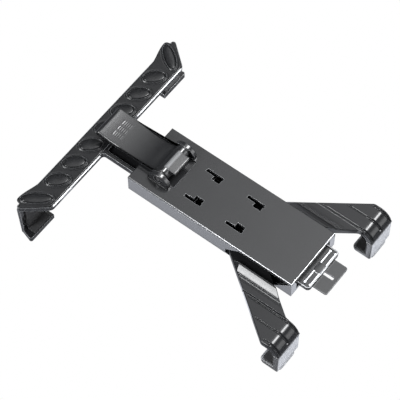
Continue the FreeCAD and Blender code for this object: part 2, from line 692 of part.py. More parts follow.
def make_oval(label, x, y, turn, long, short):
    """A raised rim round a groove and a low pad, as one solid on the grip's skin."""
    top = s.arm_top + s.grip_thick
    groove = s.oval_rim + s.oval_groove
    layers = []
    for part, inset, low, high in (
        ("rim", 0, top - 0.4, top + s.oval_rise), ("hollow", s.oval_rim, top - 0.1, top + s.oval_rise + 1),
        ("pad", groove, top - 0.4, top + s.oval_rise - 0.25),
    ):
        ellipse = doc.addObject("Part::Ellipse", f"{label}_{part}_line")
        ellipse.Placement.Rotation = FreeCAD.Rotation(FreeCAD.Vector(0, 0, 1), turn)
        bind(ellipse, "MajorRadius", long - inset)
        bind(ellipse, "MinorRadius", short - inset)
        bind(ellipse, "Placement.Base.x", x)
        bind(ellipse, "Placement.Base.y", y)
        bind(ellipse, "Placement.Base.z", low)
        solid = doc.addObject("Part::Extrusion", f"{label}_{part}")
        solid.Base = ellipse
        solid.DirMode = "Custom"
        solid.Dir = FreeCAD.Vector(0, 0, 1)
        solid.Solid = True
        bind(solid, "LengthFwd", high - low)
        layers.append(solid)
    rim, hollow, middle = layers
    ring = doc.addObject("Part::Cut", f"{label}_ring")
    ring.Base, ring.Tool = rim, hollow
    return [ring, middle]


def make_tee_grip():
    skin = new_body("grip_skin")
    low, high = s.arm_top, s.arm_top + s.grip_thick
    pad(skin, "sheet", "XY_Plane", low, high, arm_outline(s.grip_inset))
    # Clear of the stem's raised rims.
    cut(skin, "stem_gap", "XY_Plane", low - 1, high + 1,
        rectangle(-1 * stem_half - s.arm_fillet - 0.3, at(-1 * s.arm_near) - 1,
                  stem_half + s.arm_fillet + 0.3, at(-1 * s.arm_near) + 0.9))
    far = at(-1 * s.arm_far)
    for name, side in BOTH:
        # The end pad bulges past the arm's outer edge.
        reach = at(-1 * s.tee_reach)
        start, turn, tip = (s.arm_half - back for back in (
            s.bulge_start_back, s.bulge_middle_back, s.bulge_tip_back))
        bulge = [
            (start, far - 2), (tip + s.bulge_round, far - 3), (tip + s.bulge_round, reach - s.bulge_round),
            (tip, reach, s.bulge_round), (turn, far + s.bulge_rise, s.bulge_swell),
            (start, far - s.grip_inset, -1 * s.bulge_sweep),
        ]
        pad(skin, f"{name}_bulge", "XY_Plane", low + 0.2, high, flipped(bulge, side))
    parts = [skin]
    long_turn = s.oval_turn.value - 90
    for step in range(-3, 4):
        parts += make_oval(f"oval_{step + 3}", step * s.oval_pitch, at(-1 * s.oval_row), long_turn,
                           s.oval_long, s.oval_short)
    for name, side in BOTH:
        across, turn = side * (s.arm_half - s.end_oval_back), 90 - side * s.end_oval_turn.value
        parts += make_oval(f"{name}_end_oval", across, at(-1 * s.end_oval_row), turn,
                           s.end_oval_long, s.end_oval_short)
    grip = doc.addObject("Part::MultiFuse", "tee_grip")
    grip.Label = "tee_grip"
    grip.Shapes = parts
    return grip


def make_tee_spring():
    body = new_body("tee_spring")
    t = s.spring_thick
    low, high = floor_top, s.tee_bottom - s.running
    hold, bump = at(s.tee_spring_screw), at(s.tee_spring_bump)
    section = [
        (hold + 3.5, low), (hold + 3.5, low + t), (hold - 3.5, low + t), (bump + 2, high - 0.9),
        (bump + 0.6, high), (bump - 0.6, high), (bump - 3, high - 1.4), (bump - 3, high - 1.4 - t),
        (bump - 0.2, high - t), (bump + 0.4, high - t), (bump + 1.8, high - 0.9 - t), (hold - 3.8, low),
    ][::-1]
    pad(body, "strip", "YZ_Plane", -4, 4, section)
    cut(body, "hole", "XY_Plane", low - 1, low + t + 1, (0, at(s.tee_spring_screw), s.screw_radius + 0.1))
    return body


def make_slider_spring():
    body = new_body("slider_spring")
    t = s.spring_thick
    top, low = cover_bottom, s.plate_bottom + s.plate_thick + s.running
    hold, bump = at(s.slider_spring_screw), at(s.slider_spring_bump)
    section = [
        (hold - 3.5, top - t), (hold + 3.5, top - t), (bump - 1.5, low + 0.9), (bump - 0.6, low),
        (bump + 0.6, low), (bump + 3, low + 1.4), (bump + 3, low + 1.4 + t), (bump + 0.2, low + t),
        (bump - 0.2, low + t), (bump - 1.3, low + 0.9 + t), (hold + 3.8, top), (hold - 3.5, top),
    ]
    pad(body, "strip", "YZ_Plane", -3, 3, section)
    cut(body, "hole", "XY_Plane", top - t - 1, top + 1,
        (0, hold, s.screw_radius + 0.1))
    return body


def make_spring_screws():
    body = new_body("spring_screws")
    t = s.spring_thick
    tee, slider = at(s.tee_spring_screw), at(s.slider_spring_screw)
    pad(body, "tee_head", "XY_Plane", floor_top + t, floor_top + t + 1, (0, tee, s.screw_head))
    pad(body, "tee_shank", "XY_Plane", floor_top - s.spring_screw_bite, floor_top + t,
        (0, tee, s.screw_radius))
    pad(body, "slider_head", "XY_Plane", cover_bottom - t - 1, cover_bottom - t, (0, slider, s.screw_head))
    pad(body, "slider_shank", "XY_Plane", cover_bottom - t, cover_bottom + s.spring_screw_bite,
        (0, slider, s.screw_radius))
    return body


def leg_band(x0, x1, edge0=0, edge1=1):
    """Piece of a leg's slanting band between two lines along the mount."""
    return [(x0, leg_edge(x0, edge1)), (x1, leg_edge(x1, edge1)),
            (x1, leg_edge(x1, edge0)), (x0, leg_edge(x0, edge0))]


def rib_place(number):
    """The first rib crosses the slanting part; the others are spaced over the tip."""
    if number == 0:
        return s.leg_rib_first
    return leg_tip_inner + s.leg_rib_tip + (number - 1) * s.leg_rib_pitch


def make_leg(name, side):
    body = new_body(f"{name}_leg")
    inner, outer = leg_tip_inner, leg_tip_inner + s.leg_tip_width
    bend = at(s.leg_reach - s.leg_tip_radius)
    band = [
        (s.leg_inner, leg_edge(s.leg_inner, 1)), (inner, leg_edge(inner, 1)), (inner, bend),
        (outer, bend), (outer, leg_edge(outer, 0)), (s.leg_inner, leg_edge(s.leg_inner, 0)),
    ]
    pad(body, "band", "XY_Plane", s.leg_bottom, s.leg_top, flipped(band, side))

    # The tip rounds down to the claw as a curved wall.
    end = at(s.leg_reach)
    low = s.leg_top - s.leg_tip_radius
    wall = s.leg_tip_wall
    tip = [
        (bend + 0.5, s.leg_top), (bend, s.leg_top), (end, low, s.leg_tip_radius), (end + wall, low),
        (bend, s.leg_top - wall, -1 * (s.leg_tip_radius - wall)), (bend + 0.5, s.leg_top - wall),
    ]
    pad(body, "tip", "YZ_Plane", *sides(side, inner, outer), tip)
    pad(body, "tip_flange", "YZ_Plane", *sides(side, inner - 0.4, outer + 0.4),
        rectangle(end, low, end + wall, low + 1.2))

    # The raised root that the housing's window hides, with a concave ramp outwards.
    top = s.leg_top + s.hump_high
    set_back = s.hump_back
    hump = [(s.hump_inner, leg_edge(s.hump_inner, 1)), (s.hump_foot, leg_edge(s.hump_foot, 1)),
            (s.hump_foot, leg_edge(s.hump_foot, 0) - set_back),
            (s.hump_inner, leg_edge(s.hump_inner, 0) - set_back)]
    pad(body, "hump", "XY_Plane", s.leg_top - 0.5, top, flipped(hump, side))
    ramp = [(s.hump_crest, top + 1), (s.hump_crest, top), (s.hump_foot, s.leg_top, s.hump_ramp),
            (s.hump_foot + 1, s.leg_top), (s.hump_foot + 1, top + 1)]
    cut(body, "ramp", "XZ_Plane", at(s.leg_reach), at(s.leg_start), flipped(ramp, side))

    for number in range(4):
        x0 = rib_place(number)
        x1 = x0 + s.leg_rib_wide
        if number == 0:
            rib = leg_band(x0, x1, 0.02, 0.98)
        else:
            rib = [(x0, bend), (x1, bend), (x1, leg_edge(x1, 0) - 0.6), (x0, leg_edge(x0, 0) - 0.6)]
        pad(body, f"rib_{number}", "XY_Plane", s.leg_top - 0.3, s.leg_top + s.leg_rib_high,
            flipped(rib, side))
    # Deep grooves carry the outer ribs on round the tip.
    groove = [
        (bend + 1.5, s.leg_top + 1), (bend + 1.5, s.leg_top - 0.6), (bend, s.leg_top - 1.1),
        (end + 1.1, low + 2.4, s.leg_tip_radius - 1), (end - 1, low + 2.4), (end - 1, s.leg_top + 1),
    ]
    for number in (1, 2, 3):
        middle = rib_place(number) + s.leg_rib_wide / 2
        cut(body, f"groove_{number}", "YZ_Plane",
            *sides(side, middle - s.leg_rib_wide, middle + s.leg_rib_wide), groove)

    guide = (s.guide_wide / 2 + s.running) / s.leg_width
    outwards = inside + s.slider_travel * slant + 1
    cut(body, "guide_groove", "XY_Plane", s.leg_bottom - 1, floor_top + s.guide_high + s.running,
        flipped(leg_band(s.leg_inner - 1, outwards, 0.5 - guide, 0.5 + guide), side))
    pin_y = leg_edge(s.pin_across, 0.5)
    cut(body, "pin_hole", "XY_Plane", s.leg_top - 2.2, s.leg_top + 1,
        (side * s.pin_across, pin_y, s.pin_radius))
    x, y = claw_screw_place(side)
    cut(body, "screw_pilot", "XY_Plane", low - 1, s.claw_top + s.claw_screw_bite, (x, y, s.screw_radius))
    return body


def make_drive_pin(name, side):
    body = new_body(f"{name}_drive_pin")
    pad(body, "pin", "XY_Plane", s.leg_top - 2.2, s.plate_bottom + s.plate_thick,
        (side * s.pin_across, leg_edge(s.pin_across, 0.5), s.pin_radius))
    return body


def make_claw(name, side):
    """Grey block below a leg tip: wall, lip with a rounded edge, and a narrower foot."""
    body = new_body(f"{name}_claw")
    end = at(s.leg_reach)
    inner, outer = leg_tip_inner, leg_tip_inner + s.leg_tip_width
    lip_end = end + s.claw_lip
    low, thick = s.claw_lip_bottom, s.claw_lip_thick
    half = thick / 2
    section = [
        (end, low), (lip_end - half, low), (lip_end, low + half, half), (lip_end - half, low + thick, half),
        (end + s.claw_wall, low + thick), (end + s.claw_wall, s.claw_top), (end, s.claw_top),
    ]
    pad(body, "section", "YZ_Plane", *sides(side, inner, outer), section)
    pad(body, "foot", "XY_Plane", 0, low + 0.5, flipped(
        rectangle(inner + s.claw_foot_inset, end, outer - s.claw_foot_inset, end + s.claw_wall + 0.6), side))
    x, y = claw_screw_place(side)
    cut(body, "screw_hole", "XY_Plane", -1, s.claw_top + 1, (x, y, s.screw_radius + 0.1))
    cut(body, "head_hole", "XY_Plane", -1, 2.2, (x, y, s.screw_head - 0.2))
    return body


def claw_screw_place(side):
    return side * (leg_tip_inner + s.leg_tip_width / 2), at(s.leg_reach) + s.claw_wall / 2


def make_claw_screw(name, side):
    body = new_body(f"{name}_claw_screw")
    x, y = claw_screw_place(side)
    pad(body, "head", "XY_Plane", 1, 2.1, (x, y, s.screw_head - 0.3))
    pad(body, "shank", "XY_Plane", 2.1, s.claw_top + s.claw_screw_bite, (x, y, s.screw_radius))
    return body


def make_claw_lining(name, side):
    body = new_body(f"{name}_claw_lining")
    face = at(s.leg_reach) + s.claw_wall
    lip_top = s.claw_lip_bottom + s.claw_lip_thick
    lip_end = at(s.leg_reach) + s.claw_lip - s.claw_lip_thick / 2
    section = [
        (face, lip_top), (lip_end, lip_top), (lip_end, lip_top + s.lining),
        (face + s.lining, lip_top + s.lining), (face + s.lining, s.claw_top - 0.6), (face, s.claw_top - 0.6),
    ]
    inner = leg_tip_inner + s.lining_inset
    pad(body, "section", "YZ_Plane",
        *sides(side, inner, inner + s.leg_tip_width - 2 * s.lining_inset), section)
    return body


def plate_head():
    """Front and back edge of the slider plate's head, round the drive pins."""
    middle = leg_edge(s.pin_across, 0.5)
    return middle - s.plate_head_deep / 2, middle + s.plate_head_deep / 2


def make_slider_plate():
    body = new_body("slider_plate")
    low, high = s.plate_bottom, s.plate_bottom + s.plate_thick
    end = at(s.leg_reach)
    front, back = plate_head()
    half, head = s.plate_half, s.plate_head_half
    outline = [
        (-1 * half + 1.5, end, 1.5), (half - 1.5, end), (half, end + 1.5, 1.5), (half, front), (head, front),
        (head, back), (-1 * head, back), (-1 * head, front), (-1 * half, front), (-1 * half, end + 1.5),
    ]
    pad(body, "plate", "XY_Plane", low, high, outline)
    slot, room = s.tongue_slot_wide / 2, s.pin_radius + s.axle_play
    slot_end = end + 3
    cut(body, "tongue_slot", "XY_Plane", low - 1, high + 1,
        rounded(-1 * slot, slot_end, slot, slot_end + s.tongue_slot_long, s.tongue_slot_wide * 0.4))
    pin_y = leg_edge(s.pin_across, 0.5)
    retracted = s.pin_across - s.slider_travel * slant
    for name, side in BOTH:
        cut(body, f"{name}_pin_slot", "XY_Plane", low - 1, high + 1, flipped(
            rectangle(retracted - room - 0.2, pin_y - room, s.pin_across + room + 0.2, pin_y + room), side))
    for step in range(5):
        cut(body, f"detent_{step}", "XY_Plane", low - 1, high + 1,
            (0, at(s.slider_spring_bump + step * s.slider_travel / 4), s.screw_radius))
    for side in (-1, 1):
        x, y = rivet_place(side)
        cut(body, f"rivet_hole_{side + 1}", "XY_Plane", low - 1, high + 1, (x, y, s.screw_radius))
    return body


def rivet_place(side):
    return side * s.rivet_across, at(handle_end - s.handle_deep + 4)


def make_slider_handle():
    body = new_body("slider_handle")
    low, high = s.plate_bottom + s.plate_thick, s.handle_top
    back, end = at(handle_end - s.handle_deep), at(handle_end)
    half = s.handle_half
    pad(body, "base", "XY_Plane", low, high, rounded(-1 * half, end, half, back, s.handle_corner))
    for number, place in enumerate((end + 0.5, end + 5.2)):
        for name, side in BOTH:
            pad(body, f"{name}_bar_{number}", "XY_Plane", high - 0.3, high + s.handle_bar_high, flipped(
                rectangle(s.handle_boss_half, place, half - 2.2, place + s.handle_bar_wide), side))
    for side in (-1, 1):
        x, y = rivet_place(side)
        cut(body, f"rivet_hole_{side + 1}", "XY_Plane", low - 1, high + 1, (x, y, s.screw_radius))
    return body


def make_slider_rivets():
    body = new_body("slider_rivets")
    for side in (-1, 1):
        x, y = rivet_place(side)
        pad(body, f"shank_{side + 1}", "XY_Plane", s.plate_bottom, s.handle_top, (x, y, s.screw_radius))
        pad(body, f"head_{side + 1}", "XY_Plane", s.handle_top, s.handle_top + 0.8, (x, y, s.screw_head))
    return body


nodes = [
    make_front_shell(), make_back_cover(), make_cover_screws(), make_front_pad(), make_hinge_pin(),
    make_stand_washers(), make_kick_stand(), make_tee_bar(), make_tee_grip(), make_tee_spring(),
    make_slider_spring(), make_spring_screws(), make_slider_plate(), make_slider_handle(),
    make_slider_rivets(),
]
for name, side in BOTH:
    nodes += [
        make_hook_lining(name, side), make_leg(name, side), make_drive_pin(name, side),
        make_claw(name, side), make_claw_screw(name, side), make_claw_lining(name, side),
    ]

doc.recompute()
for item in doc.Objects:
    if "Invalid" in item.State or "Error" in item.State:
        raise RuntimeError(f"{item.Name} failed: {item.State}")
for item in doc.Objects:
    if item.TypeId == "PartDesign::Pocket":
        if item.BaseFeature.Shape.Volume - item.Shape.Volume < 0.01:
            raise RuntimeError(f"{item.Name} takes nothing away")
for node in nodes:
    if node.Shape.isNull() or not node.Shape.isValid() or not node.Shape.Solids:
        raise RuntimeError(f"{node.Label} has no sound solid")

os.makedirs("parts", exist_ok=True)
for node in nodes:
    node.Shape.exportStep(f"parts/{node.Label}.step")
    box = node.Shape.BoundBox
    print(f"{node.Label}: {len(node.Shape.Solids)} solid, {node.Shape.Volume:.0f} mm3, "
          f"{box.XMin:.1f} {box.YMin:.1f} {box.ZMin:.1f} to {box.XMax:.1f} {box.YMax:.1f} {box.ZMax:.1f}")
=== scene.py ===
import bpy
import json
import math
import numpy as np
from mathutils import Matrix, Vector


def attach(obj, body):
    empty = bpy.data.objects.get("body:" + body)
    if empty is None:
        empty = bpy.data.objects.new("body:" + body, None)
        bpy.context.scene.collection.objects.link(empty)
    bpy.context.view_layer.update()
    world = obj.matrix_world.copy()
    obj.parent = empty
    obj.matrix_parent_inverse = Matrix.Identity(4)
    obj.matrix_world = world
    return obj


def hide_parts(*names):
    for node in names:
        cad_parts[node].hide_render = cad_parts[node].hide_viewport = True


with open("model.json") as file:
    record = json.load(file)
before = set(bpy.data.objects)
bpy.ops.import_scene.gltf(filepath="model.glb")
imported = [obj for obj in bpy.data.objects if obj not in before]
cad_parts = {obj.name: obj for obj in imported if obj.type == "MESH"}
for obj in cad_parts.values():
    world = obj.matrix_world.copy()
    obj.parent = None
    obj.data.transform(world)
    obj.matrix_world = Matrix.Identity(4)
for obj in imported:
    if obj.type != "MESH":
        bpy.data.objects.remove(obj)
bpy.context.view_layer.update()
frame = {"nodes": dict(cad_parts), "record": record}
print("frame loaded:", len(frame["nodes"]), "nodes")

mm = 0.001
housingEnd = 53.55  # Y of the housing's T-bar end; distances along the mount run from it towards the legs

view = {  # places in metres
    "place": (-0.5197, -0.3906, 1.1370),
    "aim": (-0.0068, 0.0050, 0.0370),
    "rollDegrees": -0.246,
    "lens": 167.96,
    "sensor": 36,
    "clipEnd": 20,
}
studio = {  # the sky's base and dark side, and its soft lights: (x, y) of the direction, their widths, radiance
    "tint": (0.985, 0.992, 1.0),
    "base": 0.95, "darkSide": 0.10, "darkFrom": (0.22, 0.46), "frontFrom": (-0.12, -0.36), "frontDrop": 0.6,
    "lights": {
        "glint": ((0.42, -0.17), (0.17, 0.10), 60.0),
        "overhead": ((0.42, 0.07), (0.24, 0.10), 2.2),
        "broad": ((0.42, 0.22), (0.36, 0.13), 1.5),
        "leftLow": ((-0.72, 0.285), (0.13, 0.13), 44.0),
        "frontLow": ((0.40, -0.84), (0.34, 0.13), 4.6),
    },
}


def setCamera():
    camera = bpy.data.objects.new("camera", bpy.data.cameras.new("camera"))
    bpy.context.collection.objects.link(camera)
    camera.data.lens = view["lens"]
    camera.data.sensor_width = view["sensor"]
    camera.data.clip_end = view["clipEnd"]
    way = Vector(view["aim"]) - Vector(view["place"])
    turn = way.to_track_quat("-Z", "Y").to_matrix().to_4x4()
    roll = Matrix.Rotation(math.radians(view["rollDegrees"]), 4, "Z")
    camera.matrix_world = Matrix.Translation(view["place"]) @ turn @ roll
    bpy.context.scene.camera = camera


def setStudio():
    # Radiance by direction: a plain base that darkens towards both ends of the mount, plus one soft bell curve
    # per light.
    world = bpy.data.worlds.new("studio")
    bpy.context.scene.world = world
    world.use_nodes = True
    tree = Tree("studio", world)
    x, y = tree.apart(tree.node("ShaderNodeTexCoord", {}, {}, "Generated"))[:2]
    near, far = studio["darkFrom"]
    shadeSide = ((y - near) / (far - near)).clip()
    level = studio["base"] + (studio["darkSide"] - studio["base"]) * shadeSide
    near, far = studio["frontFrom"]
    level = level * (1 - ((y - near) / (far - near)).clip() * studio["frontDrop"])
    for (x0, y0), (wideX, wideY), radiance in studio["lights"].values():
        offX, offY = (x - x0) / wideX, (y - y0) / wideY
        level = level + ((offX * offX + offY * offY) * -1.0).maths("EXPONENT") * radiance
    sky = tree.node("ShaderNodeBackground", {}, {"Color": shade(studio["tint"]), "Strength": level})
    tree.finish(sky, "ShaderNodeOutputWorld")
    bpy.context.scene.view_settings.view_transform = "Standard"


class Signal:  # one socket; maths on it adds Math nodes to its tree
    def __init__(self, tree, socket):
        self.tree, self.socket = tree, socket

    def maths(self, operation, *others):
        return self.tree.node("ShaderNodeMath", {"operation": operation}, [self, *others])

    def __add__(self, other):
        return self.maths("ADD", other)

    def __radd__(self, other):
        return self.maths("ADD", other)

    def __sub__(self, other):
        return self.maths("SUBTRACT", other)

    def __rsub__(self, other):
        return self.tree.node("ShaderNodeMath", {"operation": "SUBTRACT"}, [other, self])

    def __mul__(self, other):
        return self.maths("MULTIPLY", other)

    def __rmul__(self, other):
        return self.maths("MULTIPLY", other)

    def __truediv__(self, other):
        return self.maths("DIVIDE", other)

    def clip(self):
        return self.maths("MINIMUM", 1.0).maths("MAXIMUM", 0.0)


class Tree:  # the nodes of a new material, or of the world given as owner
    def __init__(self, name, owner=None):
        self.material = owner or bpy.data.materials.new(name)
        self.material.use_nodes = True
        self.nodes = self.material.node_tree.nodes
        self.links = self.material.node_tree.links
        self.nodes.clear()

    def node(self, kind, settings=None, inputs=None, output=0):
        made = self.nodes.new(kind)
        for name, value in (settings or {}).items():
            setattr(made, name, value)
        pairs = enumerate(inputs) if isinstance(inputs, list) else (inputs or {}).items()
        for key, value in pairs:
            if isinstance(value, Signal):
                self.links.new(value.socket, made.inputs[key])
            else:
                made.inputs[key].default_value = value
        return Signal(self, made.outputs[output])

    def noise(self, place, scale, detail=2.0, rough=0.5):
        return self.node("ShaderNodeTexNoise", {}, {"Vector": place, "Scale": scale, "Detail": detail,
                                                    "Roughness": rough}, "Fac")

    def mix(self, factor, first, second):
        return self.node("ShaderNodeMix", {"data_type": "RGBA"}, {0: factor, 6: first, 7: second}, 2)

    def place(self):
        return self.node("ShaderNodeTexCoord", {}, {}, "Object")

    def apart(self, vector):
        made = self.nodes.new("ShaderNodeSeparateXYZ")
        self.links.new(vector.socket, made.inputs[0])
        return [Signal(self, made.outputs[axis]) for axis in "XYZ"]

    def finish(self, shader, kind="ShaderNodeOutputMaterial"):
        out = self.nodes.new(kind)
        self.links.new(shader.socket, out.inputs["Surface"])
        return self.material


def shade(colour):
    return (*colour, 1.0)


moulding = {  # what all plastics share: mottling and handling marks (size per metre, share), a painted highlight on convex edges, painted highlight lines, painted shade on claw ends, and grain
    "cloud": 60.0, "cloudShare": 0.7, "cloudRough": 0.08,
    "smear": 420.0, "smearShare": 0.5, "smearRough": 0.12, "mixFrom": 0.1, "roughDrop": 0.10,
    "edgeHighlightColour": (0.42, 0.43, 0.45), "edgeHighlightWide": 0.5, "edgeHighlightGain": 2.6, "edgeHighlightFrom": 0.35, "edgeHighlightPatch": 0.5,
    "edgeHighlightLeast": 0.7, "edgeHighlightRays": 8,
    "highlightColour": (0.78, 0.79, 0.82), "highlightSoft": 0.12, "highlightFoot": 0.1, "endSoft": 0.2,
    "grainStrength": 0.6, "edgeRays": 6,
}
# Per finish: colour, second colour of the mottling, roughness, grain depth in mm, grain size per metre, edge radius
# in mm and strength of the painted highlight on convex edges. Each of the highlight lines is a painted highlight
# along a lit edge, beyond a start along an (x, y) direction and above a z: x, y, start, strength, z, y of full
# strength, y of none. The ends are a claw's two faces across the mount, painted darker as shade: the x of the inner
# one, the x of the outer one, and their painted colour. bar_painted_highlight is only a look, a painted highlight for
# a bead of bar_gloss.
finishes = {
    "housing_gloss": dict(colour=(0.0090, 0.0093, 0.0101), fleck=(0.0130, 0.0134, 0.0146), rough=0.15, grain=0.004,
                          grainScale=1500, edge=0.35, edgeHighlight=0.55),
    "cover_satin": dict(colour=(0.0090, 0.0093, 0.0101), fleck=(0.0130, 0.0134, 0.0146), rough=0.21, grain=0.008,
                        grainScale=2600, edge=0.25, edgeHighlight=0.32,
                        highlightLines=((-1, 0, 24.25, 0.6, 42.8, -25, 25), (0, -1, 84.75, 1.0, 42.8, 0, 1))),
    "stand_satin": dict(colour=(0.0080, 0.0082, 0.0090), fleck=(0.0120, 0.0124, 0.0134), rough=0.20, grain=0.006,
                        grainScale=2400, edge=0.30, edgeHighlight=0.15),
    "bar_gloss": dict(colour=(0.0070, 0.0072, 0.0078), fleck=(0.0110, 0.0113, 0.0123), rough=0.13, grain=0.004,
                      grainScale=1500, edge=0.45, edgeHighlight=0.55),
    "leg_gloss": dict(colour=(0.0080, 0.0082, 0.0090), fleck=(0.0120, 0.0124, 0.0134), rough=0.16, grain=0.005,
                      grainScale=2000, edge=0.30, edgeHighlight=0.12, ior=1.33),
    "slider_plastic": dict(colour=(0.022, 0.0225, 0.0235), fleck=(0.030, 0.0305, 0.0315), rough=0.24, grain=0.006,
                           grainScale=2600, edge=0.25, edgeHighlight=0.5, ior=1.44,
                           highlightLines=((0, -1, 0, 0.35, 36.9, 0, 1), (0, -1, 0, 0.7, 37.5, 0, 1))),
    "washer_plastic": dict(colour=(0.016, 0.016, 0.017), fleck=(0.022, 0.022, 0.023), rough=0.42, grain=0.006,
                           grainScale=2600, edge=0.15),
    "grip_rubber": dict(colour=(0.0070, 0.0072, 0.0078), fleck=(0.0120, 0.0124, 0.0134), rough=0.22, grain=0.014,
                        grainScale=3200, edge=0.0, edgeHighlight=0.2, ior=1.34),
    "lining_rubber": dict(colour=(0.014, 0.014, 0.015), fleck=(0.030, 0.030, 0.031), rough=0.62, grain=0.05,
                          grainScale=1600, edge=0.25),
    "foam": dict(colour=(0.026, 0.026, 0.027), fleck=(0.050, 0.050, 0.051), rough=0.85, grain=0.10,
                 grainScale=2200, edge=0.3),
    # pale colour that paints the highlight on the arm's near-edge bead
    "bar_painted_highlight": dict(colour=(0.66, 0.67, 0.69), fleck=(0.78, 0.79, 0.81), rough=0.20, grain=0.004,
                    grainScale=1500, edge=0.0),
    "claw_grey": dict(colour=(0.185, 0.190, 0.200), fleck=(0.215, 0.221, 0.232), rough=0.34, grain=0.008,
                      grainScale=2400, edge=0.45, ends=(42.55, 65.55, (0.045, 0.046, 0.049))),
}
steels = {
    "screw_steel": dict(colour=(0.46, 0.46, 0.47), rough=0.32),
    "pin_steel": dict(colour=(0.52, 0.52, 0.53), rough=0.24),
    "spring_steel": dict(colour=(0.48, 0.48, 0.49), rough=0.34),
}
brushing = {
    "stretch": (300, 4000, 4000), "dark": 0.86, "strength": 0.3, "deep": 0.00002, "rough": 0.15, "roughDrop": 0.07,
}


def plastic(name, colour, fleck, rough, grain, grainScale, edge, edgeHighlight=0.0, highlightLines=(), ends=None, ior=1.5):
    m = moulding
    tree = Tree(name)
    place = tree.place()
    cloud = tree.noise(place, m["cloud"], 3.0)  # slow mottling as mould flow leaves it
    smear = tree.noise(place, m["smear"], 4.0, 0.6)  # faint handling marks
    fine = tree.noise(place, float(grainScale), 2.0)
    mottled = (cloud * m["cloudShare"] + smear * m["smearShare"] - m["mixFrom"]).clip()
    tint = tree.mix(mottled, shade(colour), shade(fleck))
    if edgeHighlight:  # painted highlight: convex edges, where rays cast into the solid leave it again at once, are painted pale to stand in for the light they catch
        inwards = {"inside": True, "only_local": True, "samples": m["edgeHighlightRays"]}
        inner = tree.node("ShaderNodeAmbientOcclusion", inwards, {"Distance": m["edgeHighlightWide"] * mm}, "AO")
        patchy = smear * m["edgeHighlightPatch"] + m["edgeHighlightLeast"]
        paintedEdgeHighlight = ((1 - inner) * m["edgeHighlightGain"] - m["edgeHighlightFrom"]).clip() * patchy * edgeHighlight
        tint = tree.mix(paintedEdgeHighlight.clip(), tint, shade(m["edgeHighlightColour"]))
    if highlightLines or ends:
        x, y, z = (axis / mm for axis in tree.apart(place))
    # painted shade: the claw's two end faces across the mount are coloured dark where shade falls on them
    if ends:
        low, high, tone = ends
        across = x.maths("ABSOLUTE")
        beyond = ((across - high) / m["endSoft"]).clip() + ((low - across) / m["endSoft"]).clip()
        tint = tree.mix(beyond.clip(), tint, shade(tone))
    # painted highlights: pale lines along the edges that face the light, faded along y
    for alongX, alongY, start, strength, low, fadeFrom, fadeTo in highlightLines:
        beyond = ((x * alongX + y * alongY - start) / m["highlightSoft"]).clip() * ((z - low) / m["highlightFoot"]).clip()
        fade = ((y - fadeTo) / (fadeFrom - fadeTo)).clip()
        tint = tree.mix(beyond * fade * strength, tint, shade(m["highlightColour"]))
    height = {"Strength": m["grainStrength"], "Distance": grain * mm, "Height": fine}
    if edge:
        height["Normal"] = tree.node("ShaderNodeBevel", {"samples": m["edgeRays"]}, {"Radius": edge * mm})
    return tree.finish(tree.node("ShaderNodeBsdfPrincipled", {}, {
        "Base Color": tint,
        "Roughness": (smear * m["smearRough"] + cloud * m["cloudRough"] + (rough - m["roughDrop"])).clip(),
        "IOR": ior,
        "Normal": tree.node("ShaderNodeBump", {}, height),
    }))


def steel(name, colour, rough):
    b = brushing
    tree = Tree(name)
    stretched = tree.node("ShaderNodeMapping", {}, {"Vector": tree.place(), "Scale": b["stretch"]})
    brush = tree.noise(stretched, 1.0, 3.0)
    bump = {"Strength": b["strength"], "Distance": b["deep"], "Height": brush}
    return tree.finish(tree.node("ShaderNodeBsdfPrincipled", {}, {
        "Base Color": tree.mix(brush, shade(tuple(c * b["dark"] for c in colour)), shade(colour)),
        "Metallic": 1.0,
        "Roughness": (brush * b["rough"] + (rough - b["roughDrop"])).clip(),
        "Normal": tree.node("ShaderNodeBump", {}, bump),
    }))


floorLook = {  # paint under the lamps; in mirrors a plain strength, and brighter areas as (x, x, y, y) in mm
    "half": 4.0, "paint": (0.80, 0.80, 0.80), "mirrorTint": (0.94, 0.97, 1.06),
    "plain": 0.4, "bright": 1.9, "soft": 5.0,
    "areas": [(-52, -33, -84, 74), (-17, 50, -105, -89), (-72, -28, -122, -104), (40, 82, -122, -104)],
}


def floorMaterial():
    # White to the camera, an ordinary pale surface to the lamps, and bright and dark areas to the glossy walls.
    tree = Tree("paleFloor")
    path = tree.nodes.new("ShaderNodeLightPath")
    camera, glossy, through = (Signal(tree, path.outputs[f"Is {kind} Ray"])
                               for kind in ("Camera", "Glossy", "Transmission"))
    seen = (camera + glossy + through).clip()
    paint = tree.node("ShaderNodeBsdfDiffuse", {}, {"Color": shade(floorLook["paint"])})
    x, y = (axis / mm for axis in tree.apart(tree.place())[:2])
    mirrored, soft = floorLook["plain"], floorLook["soft"]
    for lowX, highX, lowY, highY in floorLook["areas"]:
        inside = ((x - lowX) / soft).clip() * ((highX - x) / soft).clip()
        inside = inside * ((y - lowY) / soft).clip() * ((highY - y) / soft).clip()
        mirrored = inside * (floorLook["bright"] - floorLook["plain"]) + mirrored
    glow = tree.node("ShaderNodeEmission", {}, {
        "Color": tree.mix(glossy, shade((1.0, 1.0, 1.0)), shade(floorLook["mirrorTint"])),
        "Strength": glossy * (mirrored - 1) + 1,
    })
    return tree.finish(tree.node("ShaderNodeMixShader", {}, [seen, paint, glow]))


def makeFloor():
    mesh = bpy.data.meshes.new("floor")
    half = floorLook["half"]
    mesh.from_pydata([(-half, -half, 0), (half, -half, 0), (half, half, 0), (-half, half, 0)], [], [(0, 1, 2, 3)])
    floor = bpy.data.objects.new("floor", mesh)
    bpy.context.collection.objects.link(floor)
    mesh.materials.append(floorMaterial())


setCamera()
setStudio()
makeFloor()
materials = {name: plastic(name, **values) for name, values in finishes.items()}
materials.update({name: steel(name, **values) for name, values in steels.items()})
print("materials made:", len(materials))


